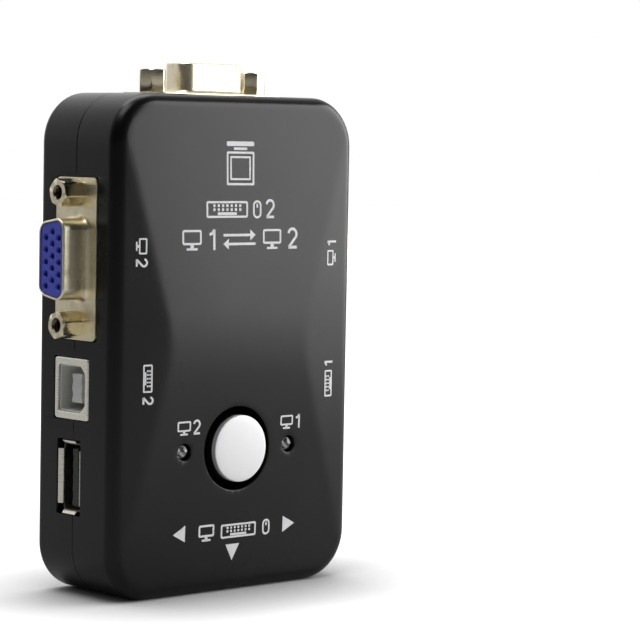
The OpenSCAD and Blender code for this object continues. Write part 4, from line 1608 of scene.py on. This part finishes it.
def plated_wear():
    """Plating with faint rolling lines and clouds of tarnish."""
    name = "Plated wear"
    if name in bpy.data.node_groups:
        return bpy.data.node_groups[name]
    tree, given, result = group(
        name, [("Vector", "Vector", None), ("Clean", "Color", None), ("Dull", "Color", None),
               ("Amount", "Float", 0.5)],
        [("Color", "Color"), ("Roughness", "Float"), ("Height", "Float")])
    cloud = node(tree, "TexNoise", {"Vector": given.outputs["Vector"]},
                 inputs={"Scale": 420.0, "Detail": 4.0, "Roughness": 0.6})
    spot_mask = node(tree, "MapRange", {"Value": cloud.outputs[0]},
                     inputs={"From Min": 0.48, "From Max": 0.72})
    mask = node(tree, "Math", {0: spot_mask.outputs[0], 1: given.outputs["Amount"]}, operation="MULTIPLY")
    colour = node(tree, "Mix", {"Factor": mask.outputs[0], 6: given.outputs["Clean"],
                                7: given.outputs["Dull"]}, data_type="RGBA")
    stretch = node(tree, "Mapping", {"Vector": given.outputs["Vector"]},
                   inputs={"Scale": (1.0, 1.0, 9.0)})
    lines = node(tree, "TexNoise", {"Vector": stretch.outputs[0]},
                 inputs={"Scale": 700.0, "Detail": 3.0, "Roughness": 0.7})
    rough = node(tree, "MapRange", {"Value": lines.outputs[0]},
                 inputs={"From Min": 0.3, "From Max": 0.7, "To Min": 0.13, "To Max": 0.27})
    rougher = node(tree, "Math", {0: mask.outputs[0], 2: rough.outputs[0]}, operation="MULTIPLY_ADD",
                   inputs={1: 0.2})
    tree.links.new(colour.outputs[2], result.inputs["Color"])
    tree.links.new(rougher.outputs[0], result.inputs["Roughness"])
    tree.links.new(lines.outputs[0], result.inputs["Height"])
    return tree


def soft_mottle():
    """Two near colours in slow clouds, as in cast or moulded resin."""
    name = "Soft mottle"
    if name in bpy.data.node_groups:
        return bpy.data.node_groups[name]
    tree, given, result = group(
        name, [("Vector", "Vector", None), ("Color", "Color", None), ("Depth", "Float", 0.15),
               ("Scale", "Float", 300.0)], [("Color", "Color"), ("Height", "Float")])
    cloud = node(tree, "TexNoise", {"Vector": given.outputs["Vector"], "Scale": given.outputs["Scale"]},
                 inputs={"Detail": 4.0, "Roughness": 0.55})
    centred = node(tree, "Math", {0: cloud.outputs[0]}, operation="SUBTRACT", inputs={1: 0.5})
    swing = node(tree, "Math", {0: centred.outputs[0], 1: given.outputs["Depth"]},
                 operation="MULTIPLY_ADD", inputs={2: 1.0})
    shade = node(tree, "VectorMath", {0: given.outputs["Color"], "Scale": swing.outputs[0]},
                 operation="SCALE")
    tree.links.new(shade.outputs[0], result.inputs["Color"])
    tree.links.new(cloud.outputs[0], result.inputs["Height"])
    return tree


def blank(name, **values):
    """A new material: its tree, Principled shader and object coordinates, or None if made."""
    made = bpy.data.materials.get(name)
    if made:
        return made, None, None, None
    made = bpy.data.materials.new(name)
    made.use_nodes = True
    tree = made.node_tree
    shader = tree.nodes["Principled BSDF"]
    for socket, value in values.items():
        shader.inputs[socket.replace("_", " ")].default_value = value
    place = node(tree, "TexCoord").outputs["Object"]
    return made, tree, shader, place


def use(tree, shared, links=(), **inputs):
    """Places a shared group in a material."""
    made = tree.nodes.new("ShaderNodeGroup")
    made.node_tree = shared
    for name, value in inputs.items():
        made.inputs[name].default_value = value
    for name, source in dict(links).items():
        tree.links.new(source, made.inputs[name])
    return made


def raise_by(tree, shader, height, distance, strength=1.0):
    bump = node(tree, "Bump", {"Height": height}, inputs={"Distance": distance, "Strength": strength})
    tree.links.new(bump.outputs[0], shader.inputs["Normal"])


def rgba(colour):
    return (*colour, 1.0)


def ranged(tree, source, low, high, start=0.3, end=0.7):
    return node(tree, "MapRange", {"Value": source}, inputs={"From Min": start, "From Max": end,
                                                             "To Min": low, "To Max": high}).outputs[0]


def case_plastic():
    """Black moulded plastic with a fine spark grain."""
    finish = settings("switch_finish")
    made, tree, shader, place = blank("Moulded black plastic", IOR=1.38)
    if not tree:
        return made
    grain = use(tree, moulded_grain(), {"Vector": place}, Size=finish.grain_size)
    mottle = use(tree, soft_mottle(), {"Vector": place}, Color=rgba(finish.case), Depth=0.5, Scale=90.0)
    tree.links.new(mottle.outputs["Color"], shader.inputs["Base Color"])
    tree.links.new(ranged(tree, grain.outputs["Gloss"], 0.23, 0.28), shader.inputs["Roughness"])
    raise_by(tree, shader, grain.outputs["Height"], finish.grain_depth, 0.5)
    return made


def plain_plastic(name, colour, rough, depth=0.2, scale=500.0, relief=0.000004, **more):
    """A moulded plastic with a slight mottle and a fine surface."""
    made, tree, shader, place = blank(name, IOR=1.5, **more)
    if not tree:
        return made
    mottle = use(tree, soft_mottle(), {"Vector": place}, Color=rgba(colour), Depth=depth, Scale=scale)
    grain = use(tree, moulded_grain(), {"Vector": place}, Size=0.0002)
    tree.links.new(mottle.outputs["Color"], shader.inputs["Base Color"])
    tree.links.new(ranged(tree, grain.outputs["Gloss"], rough - 0.05, rough + 0.05),
                   shader.inputs["Roughness"])
    raise_by(tree, shader, grain.outputs["Height"], relief, 0.4)
    return made


def plated(name, clean, dull, amount, relief=0.000003, coarser=0.0):
    """A plated metal, coarser by an added roughness."""
    made, tree, shader, place = blank(name, Metallic=1.0)
    if not tree:
        return made
    wear = use(tree, plated_wear(), {"Vector": place}, Clean=rgba(clean), Dull=rgba(dull), Amount=amount)
    tree.links.new(wear.outputs["Color"], shader.inputs["Base Color"])
    rough = node(tree, "Math", {0: wear.outputs["Roughness"]}, operation="ADD", inputs={1: coarser})
    tree.links.new(rough.outputs[0], shader.inputs["Roughness"])
    raise_by(tree, shader, wear.outputs["Height"], relief, 0.15)
    return made


def nickel():
    colour = tuple(settings("switch_finish").plating)
    return plated("Nickel plating", colour, tuple(0.55 * c for c in colour), 0.35)


def drawn_nickel():
    """Nickel over drawn sheet, a little rougher and cloudier than on turned parts."""
    colour = tuple(settings("switch_finish").plating)
    return plated("Drawn nickel", colour, tuple(0.62 * c for c in colour), 0.5, 0.000006, 0.14)


# Darker metal for the jack nuts' bores: painted shade in the threads.
def bore_shade_metal():
    return plated("Dull thread", (0.20, 0.17, 0.13), (0.08, 0.07, 0.05), 0.6, 0.000004, 0.1)


def tinplate():
    return plated("Tinplate", (0.93, 0.91, 0.80), (0.76, 0.74, 0.65), 0.1, 0.000002, 0.10)


# Darker tinplate for the inside of the flat sockets: painted shade.
def tube_shade_tin():
    return plated("Dark tinplate", (0.46, 0.45, 0.41), (0.26, 0.25, 0.22), 0.5, 0.000004, 0.12)


def zinc():
    return plated("Zinc plating", (0.60, 0.61, 0.63), (0.36, 0.36, 0.37), 0.6)


def bright_tin():
    return plated("Bright tin", (0.85, 0.85, 0.84), (0.6, 0.6, 0.6), 0.3)


def gold_flash():
    colour = tuple(settings("switch_finish").gold)
    return plated("Gold flash", colour, tuple(0.6 * c for c in colour), 0.4)


def blue_plastic():
    return plain_plastic("Blue plastic", settings("switch_finish").insert, 0.42, 0.25)


def white_plastic():
    return plain_plastic("White plastic", settings("switch_finish").white, 0.4, 0.08)


def plain_black():
    return plain_plastic("Black plastic", (0.014, 0.014, 0.015), 0.38)


def switch_plastic():
    return plain_plastic("Switch plastic", (0.03, 0.03, 0.033), 0.45)


def plunger_plastic():
    return plain_plastic("Plunger plastic", (0.70, 0.70, 0.67), 0.4)


def chip_resin():
    return plain_plastic("Chip resin", (0.02, 0.02, 0.022), 0.55, 0.5, 2500.0, 0.00001)


def sleeve_film():
    return plain_plastic("Capacitor sleeve", (0.02, 0.025, 0.06), 0.25)


def tan_ceramic():
    return plain_plastic("Tan ceramic", (0.42, 0.30, 0.18), 0.5, 0.35, 3000.0)


def resistor_body():
    return plain_plastic("Resistor body", (0.02, 0.02, 0.022), 0.35)


def print_ink():
    """White ink, a little thin in places."""
    finish = settings("switch_finish")
    made, tree, shader, place = blank("Print ink", IOR=1.45)
    if not tree:
        return made
    mottle = use(tree, soft_mottle(), {"Vector": place}, Color=rgba(finish.print_ink), Depth=0.22,
                 Scale=1500.0)
    tree.links.new(mottle.outputs["Color"], shader.inputs["Base Color"])
    tree.links.new(ranged(tree, mottle.outputs["Height"], 0.45, 0.6), shader.inputs["Roughness"])
    raise_by(tree, shader, mottle.outputs["Height"], 0.000006, 0.5)
    return made


def satin_lacquer():
    """Silver lacquer with fine flake, over plastic."""
    finish = settings("switch_finish")
    made, tree, shader, place = blank("Satin silver lacquer", Metallic=0.35, IOR=1.5)
    if not tree:
        return made
    mottle = use(tree, soft_mottle(), {"Vector": place}, Color=rgba(finish.cap), Depth=0.10,
                 Scale=4000.0)
    flake = node(tree, "TexVoronoi", {"Vector": place}, inputs={"Scale": 9000.0})
    tree.links.new(mottle.outputs["Color"], shader.inputs["Base Color"])
    tree.links.new(ranged(tree, flake.outputs["Distance"], 0.36, 0.46, 0.0, 0.8),
                   shader.inputs["Roughness"])
    raise_by(tree, shader, flake.outputs["Distance"], 0.000003, 0.25)
    return made


def clear_resin():
    """Water-clear resin of the lamps."""
    made, tree, shader, place = blank("Clear resin", IOR=1.52, Transmission_Weight=1.0,
                                      Base_Color=(0.96, 0.97, 0.97, 1.0))
    if not tree:
        return made
    ripple = node(tree, "TexNoise", {"Vector": place}, inputs={"Scale": 600.0, "Detail": 2.0})
    tree.links.new(ranged(tree, ripple.outputs[0], 0.0, 0.03), shader.inputs["Roughness"])
    raise_by(tree, shader, ripple.outputs[0], 0.00001, 0.2)
    return made


def solder_mask():
    """Green board: tracks under the mask, drawn by cells along the board's axes."""
    made, tree, shader, place = blank("Green board", IOR=1.5, Roughness=0.32)
    if not tree:
        return made
    tracks = node(tree, "TexBrick", {"Vector": place}, offset=0.5,
                  inputs={"Color1": (0.010, 0.115, 0.045, 1), "Color2": (0.013, 0.145, 0.055, 1),
                          "Mortar": (0.004, 0.060, 0.024, 1), "Scale": 260.0, "Mortar Size": 0.03})
    mottle = use(tree, soft_mottle(), {"Vector": place, "Color": tracks.outputs["Color"]}, Depth=0.3,
                 Scale=350.0)
    tree.links.new(mottle.outputs["Color"], shader.inputs["Base Color"])
    raise_by(tree, shader, tracks.outputs["Fac"], 0.00003, 0.4)
    return made


KEPT_FINISHES = {
    solder_mask: ["circuit_board"],
    plunger_plastic: ["switch_plunger"],
    switch_plastic: ["switch_body"],
    bright_tin: ["switch_pins", "lamp_leads", "chip_leads", "crystal"],
    nickel: [port + "_brackets" for port, _ in VIDEO_PORTS],
    blue_plastic: [port + "_housing" for port, _ in VIDEO_PORTS],
    gold_flash: [port + "_contacts" for port, _ in VIDEO_PORTS + SQUARE_PORTS + FLAT_PORTS],
    chip_resin: ["video_chips", "hub_chip", "controller_chip"],
    sleeve_film: ["large_capacitors"],
    tan_ceramic: ["small_capacitors"],
    resistor_body: ["resistors"],
}


class SWITCH_OT_kept_parts(bpy.types.Operator):
    """Finishes of the parts that keep their frame shape: board, chips, switch and contacts"""

    bl_idname = "switch.kept_parts"
    bl_label = "Kept parts"

    def execute(self, context):
        for finish, names in KEPT_FINISHES.items():
            made = finish()
            for name in names:
                slots = frame_node(name).data.materials
                for i in range(max(len(slots), 1)):
                    if i < len(slots):
                        slots[i] = made
                    else:
                        slots.append(made)
        return {"FINISHED"}


def frame_node(name):
    """The object of a CAD node."""
    for thing in bpy.context.scene.objects:
        if thing.get("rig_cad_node") == name:
            return thing
    raise RuntimeError("no object stands for the node " + name)


# ---- stage ---------------------------------------------------------------------------


def lamp_at(name, place, size, power, target):
    """A soft rectangular light that faces a point."""
    data = bpy.data.lights.new(name, "AREA")
    data.shape = "RECTANGLE"
    data.size, data.size_y = size
    data.energy = power
    thing = bpy.data.objects.new(name, data)
    bpy.context.scene.collection.objects.link(thing)
    thing.location = place
    thing.rotation_euler = (Vector(target) - Vector(place)).to_track_quat("-Z", "Y").to_euler()


def around(heading, height, distance, target):
    """A place at a compass heading from straight in front of the face, to its right."""
    a = radians(heading)
    return (target[0] + distance * sin(a), target[1] - distance * cos(a), target[2] + height)


class SWITCH_OT_stage(bpy.types.Operator):
    """Camera, soft lights, pale floor and plain surroundings"""

    bl_idname = "switch.stage"
    bl_label = "Stage"

    def execute(self, context):
        stage = settings("switch_stage")
        middle = Vector((0, 0, MID_Z * MM))
        yaw, dip = stage.heading, stage.dip
        ahead = Vector((sin(yaw) * cos(dip), cos(yaw) * cos(dip), -sin(dip)))
        right = Vector((cos(yaw), -sin(yaw), 0))
        above = right.cross(ahead)
        c, s = cos(stage.roll), sin(stage.roll)
        side, top = right * c + above * s, above * c - right * s
        data = bpy.data.cameras.new("Camera")
        data.lens, data.sensor_width = stage.lens, 36.0
        camera = bpy.data.objects.new("Camera", data)
        bpy.context.scene.collection.objects.link(camera)
        turn = Matrix((side, top, -ahead)).transposed().to_4x4()
        place = middle + side * stage.aside + top * stage.below - ahead * stage.distance
        camera.matrix_world = Matrix.Translation(place) @ turn
        context.scene.camera = camera
        context.scene.view_settings.view_transform = "Standard"

        lamp_at("Key", around(61, 0.17, 0.75, middle), (0.75, 0.7), stage.key, middle)
        lamp_at("Left", around(-85, 0.70, 0.26, middle), (0.45, 0.35), stage.key * 0.2, middle)
        lamp_at("Top", around(150, 0.85, 0.35, middle), (0.8, 0.5), stage.key * 0.5, middle)

        bm = bmesh.new()
        reach = 3000.0
        fill(bm, circle(0, 0, reach, 96), [], 0)
        floor = as_object("Floor", bm)
        floor.data.materials.append(pale_floor())

        world = bpy.data.worlds.new("Plain room")
        context.scene.world = world
        world.use_nodes = True
        tree = world.node_tree
        tree.nodes.clear()
        seen = node(tree, "LightPath")
        way = node(tree, "TexCoord").outputs["Generated"]
        behind = node(tree, "VectorMath", {0: way}, operation="DOT_PRODUCT", inputs={1: (0.42, 0.9, 0.1)})
        bright = node(tree, "MapRange", {"Value": behind.outputs["Value"]},
                      inputs={"From Min": -0.15, "From Max": 1.0, "To Min": 0.02, "To Max": stage.room})
        dim = node(tree, "Background", {"Strength": bright.outputs[0]}, inputs={"Color": (1, 1, 1, 1)})
        white = node(tree, "Background", inputs={"Color": (1, 1, 1, 1), "Strength": 1.0})
        mix = node(tree, "MixShader", {0: seen.outputs["Is Camera Ray"], 1: dim.outputs[0],
                                       2: white.outputs[0]})
        out = tree.nodes.new("ShaderNodeOutputWorld")
        tree.links.new(mix.outputs[0], out.inputs["Surface"])
        return {"FINISHED"}


def pale_floor():
    """White floor that shows as bright as the surroundings. Its soft shadow under the case is partly real,
    from the lights, and partly painted shadow, where its glow fades close to the case.
    """
    made, tree, shader, place = blank("Pale floor", Roughness=0.9, Specular_IOR_Level=0.1,
                                      Base_Color=(0.46, 0.46, 0.46, 1.0))
    if not tree:
        return made
    seen = node(tree, "LightPath")
    far = node(tree, "VectorMath", {0: place}, operation="LENGTH")
    strength = ranged(tree, far.outputs["Value"], 0.74, 1.0, 0.08, 0.30)
    # Painted shadow: ambient occlusion dims the floor's glow close to the case.
    near = node(tree, "AmbientOcclusion", samples=8, inputs={"Distance": 0.03})
    painted_shadow = node(tree, "Math", {0: near.outputs["AO"]}, operation="POWER", inputs={1: 3.0})
    lit = node(tree, "Math", {0: strength, 1: painted_shadow.outputs[0]}, operation="MULTIPLY")
    glow = node(tree, "Emission", {"Strength": lit.outputs[0]}, inputs={"Color": (1, 1, 1, 1)})
    both = node(tree, "AddShader", {0: shader.outputs[0], 1: glow.outputs[0]})
    mix = node(tree, "MixShader", {0: seen.outputs["Is Camera Ray"], 1: shader.outputs[0],
                                   2: both.outputs[0]})
    tree.links.new(mix.outputs[0], tree.nodes["Material Output"].inputs["Surface"])
    return made


# ---- panel, registration and making --------------------------------------------------


OPERATORS = (SWITCH_OT_stage, SWITCH_OT_front_cover, SWITCH_OT_rear_cover, SWITCH_OT_case_screws,
             SWITCH_OT_select_cap, SWITCH_OT_lamps, SWITCH_OT_video_ports, SWITCH_OT_square_ports,
             SWITCH_OT_flat_ports, SWITCH_OT_face_print, SWITCH_OT_kept_parts)


class SWITCH_PT_panel(bpy.types.Panel):
    """Lists the switch's sizes, colours and pieces"""

    bl_idname = "SWITCH_PT_panel"
    bl_label = "Desk switch"
    bl_space_type = "VIEW_3D"
    bl_region_type = "UI"
    bl_category = "Switch"

    def draw(self, context):
        for name in GROUPS:
            box = self.layout.box()
            for prop in getattr(context.scene, name).bl_rna.properties:
                if prop.identifier not in {"rna_type", "name"}:
                    box.prop(getattr(context.scene, name), prop.identifier)
        for operator in OPERATORS:
            self.layout.operator(operator.bl_idname)


def register():
    for name, sizes in GROUPS.items():
        bpy.utils.register_class(sizes)
        setattr(bpy.types.Scene, name, PointerProperty(type=sizes))
    for operator in OPERATORS:
        bpy.utils.register_class(operator)
    bpy.utils.register_class(SWITCH_PT_panel)


def unregister():
    bpy.utils.unregister_class(SWITCH_PT_panel)
    for operator in reversed(OPERATORS):
        bpy.utils.unregister_class(operator)
    for name, sizes in GROUPS.items():
        delattr(bpy.types.Scene, name)
        bpy.utils.unregister_class(sizes)


def main():
    register()
    for operator in OPERATORS:
        area, name = operator.bl_idname.split(".")
        getattr(getattr(bpy.ops, area), name)()


if __name__ == "__main__":
    main()
